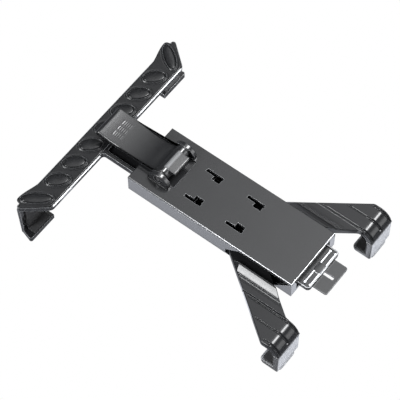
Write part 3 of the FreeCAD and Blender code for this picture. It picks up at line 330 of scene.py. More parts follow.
def outline(corners, step=0.5, bend=9):
    # Closed path of millimetre points through (a, b, radius) corners. Each corner becomes the arc that touches
    # both of its sides, and the straight runs are divided at the given step. Points that nearly meet are left out.
    shortest, crowded = 0.02, 0.3
    corners = np.array(corners, float)
    c, r = corners[:, :2], corners[:, 2:]
    before, after = np.roll(c, 1, 0) - c, np.roll(c, -1, 0) - c
    before /= np.linalg.norm(before, axis=1, keepdims=True)
    after /= np.linalg.norm(after, axis=1, keepdims=True)
    half = np.arccos(np.clip((before * after).sum(1, keepdims=True), -1, 0.9999)) / 2
    middle = before + after
    middle /= np.maximum(np.linalg.norm(middle, axis=1, keepdims=True), 1e-9)
    centre = c + middle * r / np.sin(half)
    start, end = c + before * r / np.tan(half) - centre, c + after * r / np.tan(half) - centre
    turn = np.maximum(math.pi - 2 * half, 1e-4)[:, None]
    t = np.linspace(0, 1, bend)[None, :, None]
    arc = (np.sin((1 - t) * turn) * start[:, None] + np.sin(t * turn) * end[:, None]) / np.sin(turn)
    points = (centre[:, None] + arc).reshape(-1, 2)
    points = np.vstack([points, points[:1]])
    along = np.concatenate([[0], np.cumsum(np.linalg.norm(np.diff(points, axis=0), axis=1))])
    keep = np.concatenate([[True], np.diff(along) > shortest])
    keep[-1] = True
    along, points = along[keep], points[keep]
    extra = np.arange(step, along[-1], step)
    gap = np.abs(along[np.clip(np.searchsorted(along, extra), 0, len(along) - 1)] - extra)
    places = np.union1d(along, extra[gap > step * crowded])[:-1]
    return np.stack([np.interp(places, along, points[:, 0]), np.interp(places, along, points[:, 1])], 1)


def drawnIn(path, inset):
    # A closed path moved inwards along its own normals by an inset.
    along = np.roll(path, -1, 0) - np.roll(path, 1, 0)
    normal = np.stack([-along[:, 1], along[:, 0]], 1) / np.linalg.norm(along, axis=1, keepdims=True)
    area = (path[:, 0] * np.roll(path[:, 1], -1) - np.roll(path[:, 0], -1) * path[:, 1]).sum()
    return path + normal * inset * (1 if area > 0 else -1)


def rectangle(half, low, high, radius, step):
    return outline([(-half, low, radius), (half, low, radius), (half, high, radius), (-half, high, radius)], step)


def armOutline(part, step, bend):
    # Half of the T-bar arm's outline: its near edge, a rounded corner, the slanted end and the far edge.
    bendX = part["armEnd"] - part["endSlant"]
    return outline([(0, part["nearEdge"], 0.01), (bendX, part["nearEdge"], part["nearRound"]),
                    (part["armEnd"], part["farEdge"], part["farRound"]), (0, part["farEdge"], 0.01)], step, bend)


def stations(low, high, radius, step):
    # Places from low to high with a quarter round at each end, and how far a section is drawn in at each place.
    angle = np.linspace(0, math.pi / 2, 6)
    rise = radius * (1 - np.cos(angle))
    inner = np.linspace(low + radius, high - radius, max(2, int((high - low - 2 * radius) / step) + 1))[1:-1]
    places = np.concatenate([low + rise, inner, high - rise[::-1]])
    inset = np.concatenate([radius * (1 - np.sin(angle)), np.zeros(len(inner)),
                            radius * (1 - np.sin(angle[::-1]))])
    return places, inset


def carried(path, places, inset):
    # A closed (y, z) path carried across the mount: one ring of points at each x, drawn in by its inset.
    rings = np.stack([drawnIn(path, value) for value in inset])
    x = np.broadcast_to(places[:, None, None], (len(places), len(path), 1))
    return np.concatenate([x, rings], 2)


def rings(points):
    # Faces of a stack of closed rings, with one flat face at each end.
    count, around = points.shape[:2]
    r, c = np.meshgrid(np.arange(count - 1), np.arange(around), indexing="ij")
    this, following, n = r * around, (r + 1) * around, (c + 1) % around
    quads = np.stack([this + c, this + n, following + n, following + c], -1).reshape(-1, 4)
    ends = [list(range(around - 1, -1, -1)), list(range((count - 1) * around, count * around))]
    return quads.tolist() + ends


def outwards(points, faces):
    # Turns every face round if the solid's signed volume is negative.
    quads = np.array([face for face in faces if len(face) == 4])
    a, b, c, d = (points[quads[:, k]] for k in range(4))
    volume = (a * np.cross(b, c)).sum() + (a * np.cross(c, d)).sum()
    for face in (face for face in faces if len(face) > 4):
        loop = points[face]
        volume += (loop[0] * np.cross(loop[1:-1], loop[2:])).sum()
    return faces if volume > 0 else [face[::-1] for face in faces]


def makePiece(name, solids, body, slot, replaced=(), sharp=32, look=None):
    # One object from closed solids, each a (points in mm, faces) pair.
    points, faces, first = [], [], 0
    for solidPoints, solidFaces in solids:
        flat = solidPoints.reshape(-1, 3)
        turned = outwards(flat, solidFaces)
        faces += [[index + first for index in face] for face in turned]
        points.append(flat)
        first += len(flat)
    mesh = bpy.data.meshes.new(name)
    mesh.from_pydata((np.vstack(points) * mm).tolist(), [], faces)
    mesh.validate()
    mesh.polygons.foreach_set("use_smooth", [len(face.vertices) < 5 for face in mesh.polygons])
    mesh.set_sharp_from_angle(angle=math.radians(sharp))
    mesh.materials.append(materials[look or slot])
    piece = bpy.data.objects.new(name, mesh)
    bpy.context.collection.objects.link(piece)
    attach(piece, body)
    if replaced:
        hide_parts(*replaced)


def smoothStep(value):
    value = np.clip(value, 0, 1)
    return value * value * (3 - 2 * value)


def bell(value, place, wide, power=2):
    return np.exp(-((value - place) / wide) ** power)


grip = {
    "nearEdge": 28.6, "farEdge": 47.6, "armEnd": 88.8, "endSlant": 16.4, "nearRound": 5.0, "farRound": 2.0,
    "foot": 36.4, "top": 37.55, "rimRound": 0.9, "rimFoot": 0.1, "stemHalf": 20.3, "stemNear": 28.95,
    "endIn": 0.2, "endRise": 19.6, "endCosine": 0.78, "columns": 701, "rows": 84, "rowShift": 0.035,
    "bulgeStart": 60.0, "bulgeLong": 21.0, "bulgeHigh": 4.1, "bulgeCrest": 81.2, "bulgeRound": 2.4,
    "bulgeEnd": 83.6, "bulgeStep": 1.7, "bulgeSteep": 3.2,
    "ovalPitch": 17.9, "ovalRow": 38.8, "ovalLong": 9.3, "ovalShort": 5.6, "ovalTurn": -45.4,
    "endAcross": 74.0, "endRow": 40.8, "endLong": 12.1, "endShort": 4.9, "endTurn": 52.3,
    # the relief of an oval: how high or deep each step is, its distance in from the oval's edge, and its width
    "ring": (0.62, 0.55, 0.42), "groove": (0.55, 1.45, 0.32), "hollow": (0.12, -0.35, 0.45),
    "dome": (0.42, 1.7, 1.3), "reliefFade": 0.8,
}


def gripEdges():
    # The skin's slanted end: near corner, slanted side and far corner as one chain of (x, w), w from the housing.
    path = armOutline(grip, 0.25, 16)
    path = path[path[:, 0] > grip["armEnd"] - grip["endSlant"] - 4]
    return path[np.argsort(path[:, 1])]


def gripBulge(a):
    # How far the far edge swells out towards the arm's end: a slow rise, a quarter round and a straight fall.
    swell = smoothStep((a - grip["bulgeStart"]) / grip["bulgeLong"]) * grip["bulgeHigh"]
    r = grip["bulgeRound"]
    crest = grip["bulgeStep"] + r * np.sqrt(np.clip(1 - ((a - grip["bulgeCrest"]) / r) ** 2, 0, 1))
    fall = np.clip(grip["bulgeStep"] - (a - grip["bulgeEnd"]) * grip["bulgeSteep"], 0, 2)
    return np.where(a < grip["bulgeCrest"], swell, np.where(a < grip["bulgeEnd"], crest, fall))


def ovalDepth(x, w, centreX, centreW, long, short, turn):
    # Rough distance inwards from an ellipse, from its level function over the length of its gradient.
    c, s = math.cos(math.radians(turn)), math.sin(math.radians(turn))
    p, q = (x - centreX) * c + (w - centreW) * s, (w - centreW) * c - (x - centreX) * s
    level = np.sqrt((p / long) ** 2 + (q / short) ** 2) + 1e-6
    slope = np.sqrt((p / long ** 2) ** 2 + (q / short ** 2) ** 2) / level + 1e-6
    return np.clip((1 - level) / slope, -6, 6)


def gripRelief(x, w):
    # On each oval a raised ring, a groove and a dome, as functions of the distance in from the oval's edge.
    depth = np.full(x.shape, -6.0)
    for k in range(-3, 4):
        depth = np.maximum(depth, ovalDepth(x, w, k * grip["ovalPitch"], grip["ovalRow"], grip["ovalLong"],
                                            grip["ovalShort"], grip["ovalTurn"]))
    for side in (-1, 1):
        turn = grip["endTurn"] if side > 0 else 180 - grip["endTurn"]
        depth = np.maximum(depth, ovalDepth(x, w, side * grip["endAcross"], grip["endRow"], grip["endLong"],
                                            grip["endShort"], turn))
    ring, groove, hollow = (grip[part][0] * bell(depth, *grip[part][1:]) for part in ("ring", "groove", "hollow"))
    domeHigh, domeFrom, domeLong = grip["dome"]
    dome = domeHigh * (1 - np.exp(-np.clip(depth - domeFrom, 0, 9) / domeLong)) * (depth > domeFrom)
    return ring - groove + dome - hollow


def makeGrip():
    # Height over the arm: a flat skin with a rounded rim, in columns from the near edge to the far one, with the
    # ovals' relief on it.
    chain = gripEdges()
    widest = chain[:, 0].argmax()
    reach = chain[widest, 0] - 0.03
    x = np.linspace(-reach, reach, grip["columns"])
    a = np.abs(x)
    low = np.where(a < chain[0, 0], grip["nearEdge"], np.interp(a, chain[:widest + 1, 0], chain[:widest + 1, 1]))
    low = np.where(a < grip["stemHalf"], grip["stemNear"], low)
    upper = chain[widest:][::-1]
    high = np.interp(a, upper[:, 0], upper[:, 1], left=grip["farEdge"]) + gripBulge(a)
    t = np.linspace(0, 1, grip["rows"])[None, :]
    t = t - grip["rowShift"] * np.sin(2 * math.pi * t)  # rows lie closer at both edges
    gridX = np.broadcast_to(x[:, None], (len(x), t.shape[1]))
    gridW = low[:, None] + (high - low)[:, None] * t
    slanted = (grip["farEdge"] - gridW) * grip["endSlant"] / grip["endRise"]
    slantSide = (grip["armEnd"] - grip["endIn"] - slanted - np.abs(gridX)) * grip["endCosine"]
    edge = np.minimum(np.minimum(gridW - low[:, None], high[:, None] - gridW), np.maximum(slantSide, 0))
    fall = 1 - np.clip(edge / grip["rimRound"], 0, 1)
    rimFoot = grip["rimFoot"]
    height = grip["foot"] + rimFoot + (grip["top"] - grip["foot"] - rimFoot) * np.sqrt(1 - fall ** 2)
    height = height + gripRelief(gridX, gridW) * smoothStep(edge / grip["reliefFade"])
    top = np.stack([gridX, housingEnd + gridW, height], 2)
    count, across = gridX.shape
    r, c = np.meshgrid(np.arange(count - 1), np.arange(across - 1), indexing="ij")
    quads = np.stack([r * across + c, r * across + c + 1, (r + 1) * across + c + 1, (r + 1) * across + c], -1)
    index = np.arange(count * across).reshape(count, across)
    loop = np.concatenate([index[:, 0], index[-1, 1:], index[-2::-1, -1], index[0, -2:0:-1]])
    foot = top.reshape(-1, 3)[loop].copy()
    foot[:, 2] = grip["foot"]
    first = count * across
    ringIndex = np.arange(len(loop))
    following = (ringIndex + 1) % len(loop)
    skirt = np.stack([loop, first + ringIndex, first + following, loop[following]], 1)
    points = np.vstack([top.reshape(-1, 3), foot])
    faces = quads.reshape(-1, 4)[:, ::-1].tolist() + skirt.tolist() + [(first + ringIndex[::-1]).tolist()]
    makePiece("gripPad", [(points, faces)], "tee", "grip_rubber", ["tee_grip"])


leg = {
    "slant": 0.72499, "slantDegrees": 54.05, "start": 53.1, "widthAlong": 36.45, "top": 32.5, "bottom": 27.8,
    "innerEnd": 11.0, "tipInner": 42.06, "tipOuter": 66.06, "bend": 148.9, "tipRadius": 10.0, "tipWall": 4.5,
    "tipEdge": 0.9, "rim": 0.7, "sideStep": 0.5, "heelDrop": 0.2, "cornerRound": 6.0, "cornerHalfTurn": 17.97,
    "humpFace": 28.6, "humpCrest": 29.8, "humpFoot": 33.8, "humpHigh": 3.0, "humpBend": 1.12, "humpSide": 0.7,
    "reliefOuter": 0.6, "reliefInner": 0.8, "reliefFade": 1.2,
    # the double rib at the root: (offset, height) of each, their width, and a (deep, offset, wide) groove beside it
    "firstRib": 34.3, "rootRibs": ((0, 0.45), (1.1, 0.28)), "rootRibWide": 0.26, "rootGroove": (0.22, 0.55, 0.24),
    "knurlHigh": 0.05, "knurlFrom": 32.0, "knurlPitch": 0.62, "knurlSpan": (35.9, 38.2),
    # the three ribs: (high or deep, offset, wide) of the ridge and of its groove, and the wide groove on the tip
    "tipRibs": (43.9, 54.0, 63.9), "ridge": (0.26, -0.45, 0.30), "fineGroove": (0.7, 0.15, 0.46),
    "ribStart": 2.4, "ribFade": 2.2, "tipShare": 0.8, "tipFade": 3.5,
    "wideGroove": (1.0, 0, 0.85), "wideEnd": 13.6, "wideFade": 1.6,
    "guideHalf": 2.555, "guideEnd": 34.15, "guideTop": 29.3, "guideClear": 0.3,
    "rows": 120, "fineFrom": 28.5, "coarseStep": 1.2, "fineStep": 0.17, "hair": 0.02,
    "flangeLow": 22.5, "flangeHigh": 23.8, "flangeRound": 0.45, "flangeNose": 0.55, "flangeOut": 0.4,
}


def legRelief(u, v, outerEdge):
    # Height above the leg's plain top: the raised root with its ramp, a double rib beside it, and three ribs that
    # start as a ridge with a fine groove and run round the tip as wide grooves.
    d = v - outerEdge
    ramp = np.clip((u - leg["humpCrest"]) / (leg["humpFoot"] - leg["humpCrest"]), 0, 1)
    hump = leg["humpHigh"] * (1 - ramp) ** leg["humpBend"] * (u >= leg["humpFace"])
    height = np.minimum(hump, np.clip(leg["humpSide"] * (d - leg["reliefOuter"]), 0, 9))
    along = smoothStep((d - leg["reliefOuter"]) / leg["reliefFade"])
    along = along * smoothStep((leg["widthAlong"] - leg["reliefInner"] - d) / leg["reliefFade"])
    deep, offset, wide = leg["rootGroove"]
    for step, high in leg["rootRibs"]:
        place = leg["firstRib"] + step
        height = height + high * bell(u, place, leg["rootRibWide"]) * along
        height = height - deep * bell(u - place, offset, wide) * along
    knurl = leg["knurlHigh"] * np.cos((u - leg["knurlFrom"]) * 2 * math.pi / leg["knurlPitch"])
    height = height + knurl * along * (u > leg["knurlSpan"][0]) * (u < leg["knurlSpan"][1])
    onTip = smoothStep((v - leg["bend"] + leg["tipFade"]) / leg["tipFade"])
    fade = smoothStep((leg["bend"] + leg["wideEnd"] - v) / leg["wideFade"])
    start = smoothStep((d - leg["ribStart"]) / leg["ribFade"])
    for place in leg["tipRibs"]:
        ridge, fine = (leg[part][0] * bell(u - place, *leg[part][1:]) for part in ("ridge", "fineGroove"))
        wide = leg["wideGroove"][0] * bell(u - place, *leg["wideGroove"][1:], 4)
        height = height + ((ridge - fine) * start * (1 - onTip * leg["tipShare"]) - wide * onTip * fade * start)
    return height


def legInner(u, outer):
    # The leg's inner edge, rounded where the slanted side meets the tip's.
    inner = outer + leg["widthAlong"]
    r = leg["cornerRound"]
    tangentLong = r * math.tan(math.radians(leg["cornerHalfTurn"]))
    cornerU = leg["tipInner"] - r
    cornerV = leg["start"] + leg["tipInner"] / leg["slant"] + leg["widthAlong"] + tangentLong
    arcV = cornerV - np.sqrt(np.clip(r * r - (u - cornerU) ** 2, 0, None))
    turnU = leg["tipInner"] - tangentLong * math.cos(math.radians(leg["slantDegrees"]))
    return np.where(u > turnU, np.maximum(inner, arcV), inner)


def legRings(u, onTip, inset, grooved):
    # One closed (v, z) ring at each u. The top is a path length measured on from the outer edge: flat up to the
    # bend, and from there an angle round the tip, with the relief added square to it.
    u, inset, onTip, grooved = u[:, None], inset[:, None], onTip[:, None], grooved[:, None]
    bend, radius, rim, bottom, hair = leg["bend"], leg["tipRadius"], leg["rim"], leg["bottom"], leg["hair"]
    outer = leg["start"] + u / leg["slant"]
    begin = outer + rim + inset
    flatEnd = legInner(u, outer) - rim
    flatEnd = np.where(flatEnd > bend, bend + radius * np.arcsin(np.clip((flatEnd - bend) / radius, 0, 1)), flatEnd)
    last = np.where(onTip, bend + radius * math.pi / 2, flatEnd)
    along = begin + (last - begin) * np.linspace(0, 1, leg["rows"])[None, :]
    height = legRelief(u, along, outer) - inset
    angle = np.clip((along - bend) / radius, 0, None)
    reach = radius + height
    topV = np.where(angle > 0, bend + reach * np.sin(angle), along)
    topZ = np.where(angle > 0, leg["top"] - radius + reach * np.cos(angle), leg["top"] + height)
    k = np.linspace(0, math.pi / 2, 6)[None, 1:]
    sideV = begin - rim * np.cos(k - k[:, :1])
    sideZ = topZ[:, :1] - rim + rim * np.sin(k - k[:, :1])
    wallV = np.broadcast_to(outer + inset, (len(u), 2))
    wallZ = np.stack([np.full(len(u), bottom), sideZ[:, 0] - leg["sideStep"]], 1)
    endV, endZ, one = topV[:, -1:], topZ[:, -1:], np.ones_like(u)
    roundV = np.where(onTip, endV - hair * (1 - np.cos(k)), endV + rim * np.sin(k))
    roundZ = np.where(onTip, endZ - hair / 2 * np.sin(k), endZ - rim * (1 - np.cos(k)))
    s = np.linspace(0, 1, 14)[None, :]
    bore, low = radius - leg["tipWall"], leg["top"] - radius
    backV = np.where(onTip, bend + bore * np.cos(s * math.pi / 2), roundV[:, -1:] - s)
    backZ = np.where(onTip, low + bore * np.sin(s * math.pi / 2) - (leg["heelDrop"] * (s == 1)), bottom * one)
    middle, g = outer + leg["widthAlong"] / 2, leg["guideHalf"]
    grooveTop = np.where(grooved, leg["guideTop"], bottom + hair / 2)
    footV = np.clip(np.concatenate([middle + g, middle + g, middle - g, middle - g], 1),
                    outer + inset + leg["guideClear"], backV[:, -1:] - leg["guideClear"])
    footZ = np.concatenate([bottom * one, grooveTop, grooveTop, bottom * one], 1)
    v = np.concatenate([wallV, sideV, topV[:, 1:], roundV, backV, footV], 1)
    z = np.concatenate([wallZ, sideZ, topZ[:, 1:], roundZ, backZ, footZ], 1)
    return v, z


def makeLeg(hand, side):
    fine, hair, guideEnd, tipInner = leg["fineStep"], leg["hair"], leg["guideEnd"], leg["tipInner"]
    inBand = np.concatenate([np.arange(leg["innerEnd"], leg["fineFrom"] - 0.2, leg["coarseStep"]),
                             np.arange(leg["fineFrom"], guideEnd, fine), [guideEnd, guideEnd + hair],
                             np.arange(guideEnd + 0.15, tipInner - 0.1, fine), [tipInner]])
    tip, tipInset = stations(tipInner, leg["tipOuter"], leg["tipEdge"], fine)
    u = np.concatenate([inBand, tip])
    onTip = np.concatenate([np.zeros(len(inBand), bool), np.ones(len(tip), bool)])
    inset = np.concatenate([np.zeros(len(inBand)), tipInset])
    v, z = legRings(u, onTip, inset, u <= guideEnd)
    points = np.stack([np.broadcast_to(side * u[:, None], v.shape), housingEnd - v, z], 2)
    out, low, high = leg["flangeOut"], leg["flangeLow"], leg["flangeHigh"]
    far = housingEnd - (leg["bend"] + leg["tipRadius"])
    near = far + leg["tipWall"]
    path = outline([(far, low, leg["flangeRound"]), (near, low, leg["flangeRound"]), (near, high, leg["flangeRound"]),
                    (far, high, leg["flangeNose"])], 0.6)
    flange = carried(path, *stations(tipInner - out, leg["tipOuter"] + out, out, 3.0))
    flange[:, :, 0] *= side
    makePiece(hand + "LegShell", [(points, rings(points)), (flange, rings(flange))], hand + "_leg_set", "leg_gloss",
              [hand + "_leg"])


claw = {
    "inner": 42.06, "outer": 66.06, "end": 158.9, "wall": 4.0, "lip": 15.4, "top": 22.1, "lipLow": 3.0,
    "lipThick": 3.6, "cornerRound": 3.2, "edge": 0.6, "lipRound": 1.5, "endRound": 1.6, "innerRound": 0.65,
    # the foot: its inset from both ends, how far it is wider than the wall, the power of its superellipse, its
    # levels as (share of the size, z, radius of the hole), and how far the hole lies nearer the end
    "footInset": 3.5, "footWider": 0.3, "footPower": 7.0, "holeShift": 0.3,
    "footLevels": ((1.0, 3.6, 0), (1.0, 0.6, 0), (0.985, 0.2, 0), (0.95, 0.0, 0), (0, 0.0, 1.55), (0, 2.2, 1.5)),
    "lining": 1.3, "liningInset": 0.9, "liningShort": 1.8, "liningDrop": 0.6, "liningEdge": 0.3,
    "liningRound": 2.6,
}


def pulled(points, side, inner, outer, radius, face, reach):
    # Rounds the free corners of a lip seen from above: near each end of its length its depth is drawn back as a
    # circle of the given radius leaves a square corner.
    x, y = points[:, :, 0] * side, points[:, :, 1]
    near = np.clip(radius - np.minimum(x - inner, outer - x), 0, radius)
    back = radius - np.sqrt(np.clip(radius ** 2 - near ** 2, 0, None))
    share = np.clip((y - face) / reach, 0, 1)
    points[:, :, 1] = y - back * share
    return points


def clawFoot(end, side):
    # The rounded foot under the claw, with the hole of its screw.
    inner, outer = claw["inner"] + claw["footInset"], claw["outer"] - claw["footInset"]
    x, y = side * (inner + outer) / 2, end + claw["wall"] / 2
    angle = np.linspace(0, 2 * math.pi, 65)[:-1]
    c, s = np.cos(angle), np.sin(angle)
    halfX, halfY, power = (outer - inner) / 2, claw["wall"] / 2 + claw["footWider"], claw["footPower"]
    size = (np.abs(c / halfX) ** power + np.abs(s / halfY) ** power) ** (-1 / power)
    shift = claw["holeShift"]
    foot = np.stack([np.stack([x + c * (size * share + hole), y + shift + s * (size * share + hole), c * 0 + z], 1)
                     for share, z, hole in claw["footLevels"]])
    foot[-2:, :, 1] -= shift
    return foot


def makeClaw(hand, side):
    end = housingEnd - claw["end"]
    face, lipEnd, lipTop = end + claw["wall"], end + claw["lip"], claw["lipLow"] + claw["lipThick"]
    path = outline([(end, claw["lipLow"], claw["endRound"]), (lipEnd, claw["lipLow"], claw["lipRound"]),
                    (lipEnd, lipTop, claw["lipRound"]), (face, lipTop, claw["edge"]),
                    (face, claw["top"], claw["innerRound"]), (end, claw["top"], claw["innerRound"])], 0.8)
    block = carried(path, *stations(claw["inner"], claw["outer"], claw["edge"], 0.7))
    block[:, :, 0] *= side
    block = pulled(block, side, claw["inner"], claw["outer"], claw["cornerRound"], face, claw["lip"] - claw["wall"])
    foot = clawFoot(end, side)
    makePiece(hand + "ClawBlock", [(block, rings(block)), (foot, rings(foot))], hand + "_leg_set", "claw_grey",
              [hand + "_claw"], 40)
    short, padTop = claw["liningShort"], claw["top"] - claw["liningDrop"]
    padFace, padFloor = face + claw["lining"], lipTop + claw["lining"]
    rubber = outline([(face, lipTop, 0.35), (lipEnd - short, lipTop, 0.35), (lipEnd - short, padFloor, 0.6),
                      (padFace, padFloor, 0.9), (padFace, padTop, 0.5), (face, padTop, 0.35)], 0.6)
    inner, outer = claw["inner"] + claw["liningInset"], claw["outer"] - claw["liningInset"]
    pad = carried(rubber, *stations(inner, outer, claw["liningEdge"], 0.7))
    pad[:, :, 0] *= side
    pad = pulled(pad, side, inner, outer, claw["liningRound"], face, claw["lip"] - claw["wall"] - short)
    makePiece(hand + "ClawPad", [(pad, rings(pad))], hand + "_leg_set", "lining_rubber", [hand + "_claw_lining"], 40)


stand = {
    "axleY": 34.15, "axleZ": 48.0, "barrel": 5.2, "barrelTurn": (58, 236, 22), "halfWidth": 12.4, "under": 44.4,
    "tip": 91.85, "tipHigh": 5.15, "noseIn": 1.6, "noseLow": 2.1, "noseHigh": 2.5, "tipKick": 0.7, "kickLong": 6.0,
    "thin": 3.1, "thinPlace": 41.55, "sag": 1.2, "rootRise": 1.2, "rootLong": 8.0,
    "rootCorner": (40.4, 47.6), "rootRound": 2.4, "rootTop": (38.2, 51.6),
    # the corners under the barrel: their distances from the axle, and their roundings
    "chin": ((-1.4, -5.3, 0.1), (1.0, -5.2, 1.0)), "throat": 2.4, "throatRound": 0.6,
    "edge": 0.85, "skirt": 1.6, "hollow": 1.7, "hollowFrom": 40.5, "hollowShort": 4.5,
    "crown": 0.35, "crownFrom": 41, "crownFade": 6, "faceUp": 2.4, "faceShort": 1.5, "faceFade": 2.0,
    "bow": 0.9, "bowFrom": 40,
    # the heel, from the axle: how far it reaches, how far its top corner stands above the barrel, (z, rounding) of
    # the two corners at its back and (y, z, rounding) of the one at its foot
    "heelHalf": 8.25, "heelReach": 8.8, "heelStart": 0.6, "heelAbove": 0.18, "heelBack": ((4.1, 0.9), (2.4, 0.6)),
    "heelFoot": (-3.6, -0.4, 0.6), "heelEdge": 0.45,
    "ridgeCentre": (0.0, 78.0), "ridgeGroups": (-5.2, 0.0, 5.2), "ridgeHalf": 2.1, "ridgeLong": 4.6,
    "ridgePitch": 1.55, "ridgeHigh": 0.09, "ridgeEndFade": 0.4, "ridgeSideFade": 0.35,
}


def standRidges(x, y):
    # Three groups of fine grip ridges: a cosine along the blade, cut off at each group's ends and sides.
    centreX, centreY = stand["ridgeCentre"]
    wave = 0.5 + 0.5 * np.cos((y - centreY) * 2 * math.pi / stand["ridgePitch"])
    window = smoothStep((stand["ridgeLong"] - np.abs(y - centreY)) / stand["ridgeEndFade"])
    group = sum(smoothStep((stand["ridgeHalf"] - np.abs(x - centreX - place)) / stand["ridgeSideFade"])
                for place in stand["ridgeGroups"])
    return stand["ridgeHigh"] * wave * window * group


def bladePath():
    # The blade's side view: a rounded nose, a hollow top face, the rise at its root and the hinge barrel.
    y0, z0, r = stand["axleY"], stand["axleZ"], stand["barrel"]
    under, tip, thin, tipHigh = stand["under"], stand["tip"], stand["thin"], stand["tipHigh"]
    nose = [(tip, under, stand["noseLow"]), (tip, under + tipHigh + stand["tipKick"], stand["noseHigh"])]
    t = np.linspace(1, 0, 26)[1:]
    topY = stand["thinPlace"] + (tip - stand["noseIn"] - stand["thinPlace"]) * t
    topZ = under + thin + (tipHigh - thin) * t - 4 * stand["sag"] * t * (1 - t)
    topZ = topZ + stand["rootRise"] * np.exp((stand["thinPlace"] - topY) / stand["rootLong"])
    topZ = topZ + stand["tipKick"] * np.exp((topY - tip) / stand["kickLong"])
    face = [(a, b, 0.01) for a, b in zip(topY[:-1], topZ[:-1])]
    cornerY, cornerZ = stand["rootCorner"]
    rise = [(cornerY, cornerZ + stand["rootRise"], stand["rootRound"]), (*stand["rootTop"], 0.05)]
    angle = np.radians(np.linspace(*stand["barrelTurn"]))
    barrel = [(y0 + r * math.cos(a), z0 + r * math.sin(a), 0.01) for a in angle]
    chin = [(y0 + y, z0 + z, rounding) for y, z, rounding in stand["chin"]]
    return outline(nose + face + rise + barrel + chin + [(y0 + stand["throat"], under, stand["throatRound"])], 0.3)


def makeBlade():
    # The side view carried across the stand, its underside hollowed between two skirts, its face crowned and
    # ridged, and its +X side bowed out.
    half, under, tip = stand["halfWidth"], stand["under"], stand["tip"]
    places, inset = stations(-half, half, stand["edge"], 0.45)
    cut = half - stand["skirt"]
    extra = np.array([-cut, -cut + 0.03, cut - 0.03, cut])
    order = np.argsort(np.concatenate([places, extra]))
    places, inset = np.concatenate([places, extra])[order], np.concatenate([inset, extra * 0])[order]
    blade = carried(bladePath(), places, inset)
    x, y, z = blade[:, :, 0], blade[:, :, 1], blade[:, :, 2]
    onFace = (y > stand["thinPlace"] - 1) * (z > under + stand["faceUp"])
    onFace = onFace * smoothStep((tip - stand["faceShort"] - y) / stand["faceFade"])
    crown = stand["crown"] * (1 - (x / half) ** 2) * smoothStep((y - stand["crownFrom"]) / stand["crownFade"])
    z = z + onFace * (crown + standRidges(x, y))
    below = (np.abs(x) < cut - 0.01) * (z < under + 0.3)
    below = below * (y > stand["hollowFrom"]) * (y < tip - stand["hollowShort"])
    blade[:, :, 2] = z + stand["hollow"] * below
    swell = stand["bow"] * np.sin(np.pi * np.clip((y - stand["bowFrom"]) / (tip - stand["bowFrom"]), 0, 1))
    blade[:, :, 0] = x + swell * np.clip(x / half, 0, 1)
    return blade


def makeStand():
    y0, z0 = stand["axleY"], stand["axleZ"]
    blade = makeBlade()
    startY, backY = y0 + stand["heelStart"], y0 - stand["heelReach"]
    footY, footZ, footRound = stand["heelFoot"]
    heelPath = outline([(startY, z0 + 1.0, 0.5), (startY, z0 + stand["barrel"] + stand["heelAbove"], 0.5)]
                       + [(backY, z0 + z, rounding) for z, rounding in stand["heelBack"]]
                       + [(y0 + footY, z0 + footZ, footRound)], 0.6)
    heel = carried(heelPath, *stations(-stand["heelHalf"], stand["heelHalf"], stand["heelEdge"], 1.2))
    makePiece("standBlade", [(blade, rings(blade)), (heel, rings(heel))], "stand", "stand_satin", ["kick_stand"], 34)


def swept(path, radius, around=14):
    # A round bar along a path of points: a circle square to the path at each point, with both ends closed.
    path = np.array(path, float)
    radius = np.broadcast_to(np.array(radius, float), len(path))[:, None, None]
    tangent = np.gradient(path, axis=0)
    tangent /= np.linalg.norm(tangent, axis=1, keepdims=True)
    sideways = np.cross(tangent, (0, 0, 1.0))
    sideways /= np.linalg.norm(sideways, axis=1, keepdims=True)
    upwards = np.cross(sideways, tangent)
    angle = np.linspace(0, 2 * math.pi, around + 1)[:-1][None, :, None]
    return path[:, None] + radius * (sideways[:, None] * np.cos(angle) + upwards[:, None] * np.sin(angle))


def levels(path, stack):
    # A closed (x, y) path repeated at each (inset, height) of a stack, drawn in by the inset.
    return np.stack([np.column_stack([drawnIn(path, inset), np.full(len(path), z)]) for inset, z in stack])


handle = {
    "half": 18.0, "end": 148.2, "deep": 19.0, "low": 34.0, "floor": 36.3, "rimTop": 37.0, "corner": 2.7,
    "barPlaces": (146.9, 142.6), "barRadius": 0.7, "barTop": 37.65, "barIn": 2.2, "ball": 1.05, "hair": 0.02,
    "barSink": 0.4, "bossHalf": 4.2, "bossPast": (-1.2, 1.6), "bossRound": 1.0,
    # (inset, height) of each ring up the boss, and up the frame as (inset, drop below the rim)
    "bossRings": ((0, 36.5), (0.2, 36.75), (0.6, 36.86)),
    "rimRings": ((0, 0.5), (0.15, 0.15), (0.45, 0), (0.9, 0), (1.2, 0.2)), "rimInner": 1.35, "footEdge": 0.3,
}


def handleBar(place, side):
    # A round bar from the boss outwards, whose radius swells to a ball at its end.
    h = handle
    end = h["half"] - h["barIn"]
    x = np.linspace(h["bossHalf"] - h["barSink"], end, 24) * side
    bar = np.column_stack([x, np.full(24, housingEnd - place), np.full(24, h["barTop"] - h["barRadius"])])
    onBall = np.abs(x) - (end - 2 * h["ball"])
    swell = h["ball"] * np.sqrt(np.clip(1 - ((onBall - h["ball"]) / h["ball"]) ** 2, 0, 1)) * (onBall > 0)
    return swept(bar, np.maximum(h["barRadius"] * (onBall < 2 * h["ball"] - 0.2), swell) + h["hair"])


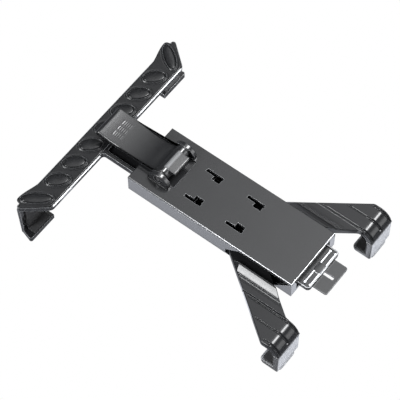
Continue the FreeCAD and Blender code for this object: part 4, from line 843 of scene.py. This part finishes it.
def makeHandle():
    # A rounded plate with a raised rim, two round bars on each half, and a plain boss in the middle.
    h = handle
    low, high = housingEnd - h["end"], housingEnd - h["end"] + h["deep"]
    foot = [(h["footEdge"], h["low"]), (0, h["low"] + h["footEdge"])]
    rim = [(inset, h["rimTop"] - drop) for inset, drop in h["rimRings"]]
    plate = levels(rectangle(h["half"], low, high, h["corner"], 1.2), foot + rim + [(h["rimInner"], h["floor"])])
    bars = [handleBar(place, side) for place in h["barPlaces"] for side in (-1, 1)]
    y0, y1 = (housingEnd - place + past for place, past in zip(h["barPlaces"], h["bossPast"]))
    boss = levels(rectangle(h["bossHalf"], y0, y1, h["bossRound"], 1.0), [(0, h["floor"] - 0.4), *h["bossRings"]])
    makePiece("handleFrame", [(solid, rings(solid)) for solid in (plate, *bars, boss)], "slider", "slider_plastic",
              ["slider_handle"], 38)


bead = {  # along the arm's top: the arm's edges, its slanted end, and where the bead starts, turns and stops
    "nearEdge": 28.0, "farEdge": 48.2, "armEnd": 89.4, "endSlant": 16.4, "nearRound": 5.0, "farRound": 2.0,
    "inset": 0.32,
    "start": 20.6, "farRow": 47.0, "farFrom": 84.2, "turnBefore": 2, "height": 36.42,
    "parts": {"armHighlightBead": ("bar_painted_highlight", 0.52), "armEnds": ("bar_gloss", 0.42)},
}


def makeArmRims():
    # A fine bead on the arm's top: a pale one along its near edge, coloured as a painted highlight, and a dark one
    # round its slanted end.
    path = drawnIn(armOutline(bead, 0.8, 12), bead["inset"])
    path = path[(path[:, 0] > bead["start"]) & ((path[:, 1] < bead["farRow"]) | (path[:, 0] > bead["farFrom"]))]
    split = int(np.argmax(path[:, 0] > bead["armEnd"] - bead["endSlant"] - bead["turnBefore"]))
    for (name, (look, radius)), part in zip(bead["parts"].items(), (path[:split + 1], path[split:])):
        solids = []
        for side in (-1, 1):
            line = np.column_stack([side * part[:, 0], housingEnd + part[:, 1], np.full(len(part), bead["height"])])
            tube = swept(line, radius, 10)
            solids.append((tube, rings(tube)))
        makePiece(name, solids, "tee", "bar_gloss", look=look)


makeGrip()
for side, hand in ((-1, "left"), (1, "right")):
    makeLeg(hand, side)
    makeClaw(hand, side)
print("grip, legs and claws made")
makeStand()
makeHandle()
makeArmRims()
print("stand and handle made")


def dressFrame():
    slots = {part["node"]: part["material_slot"] for part in frame["record"]["subparts"]}
    for name, node in frame["nodes"].items():
        for slot in node.material_slots:
            slot.material = materials[slots[name]]


dressFrame()
print("frame dressed")
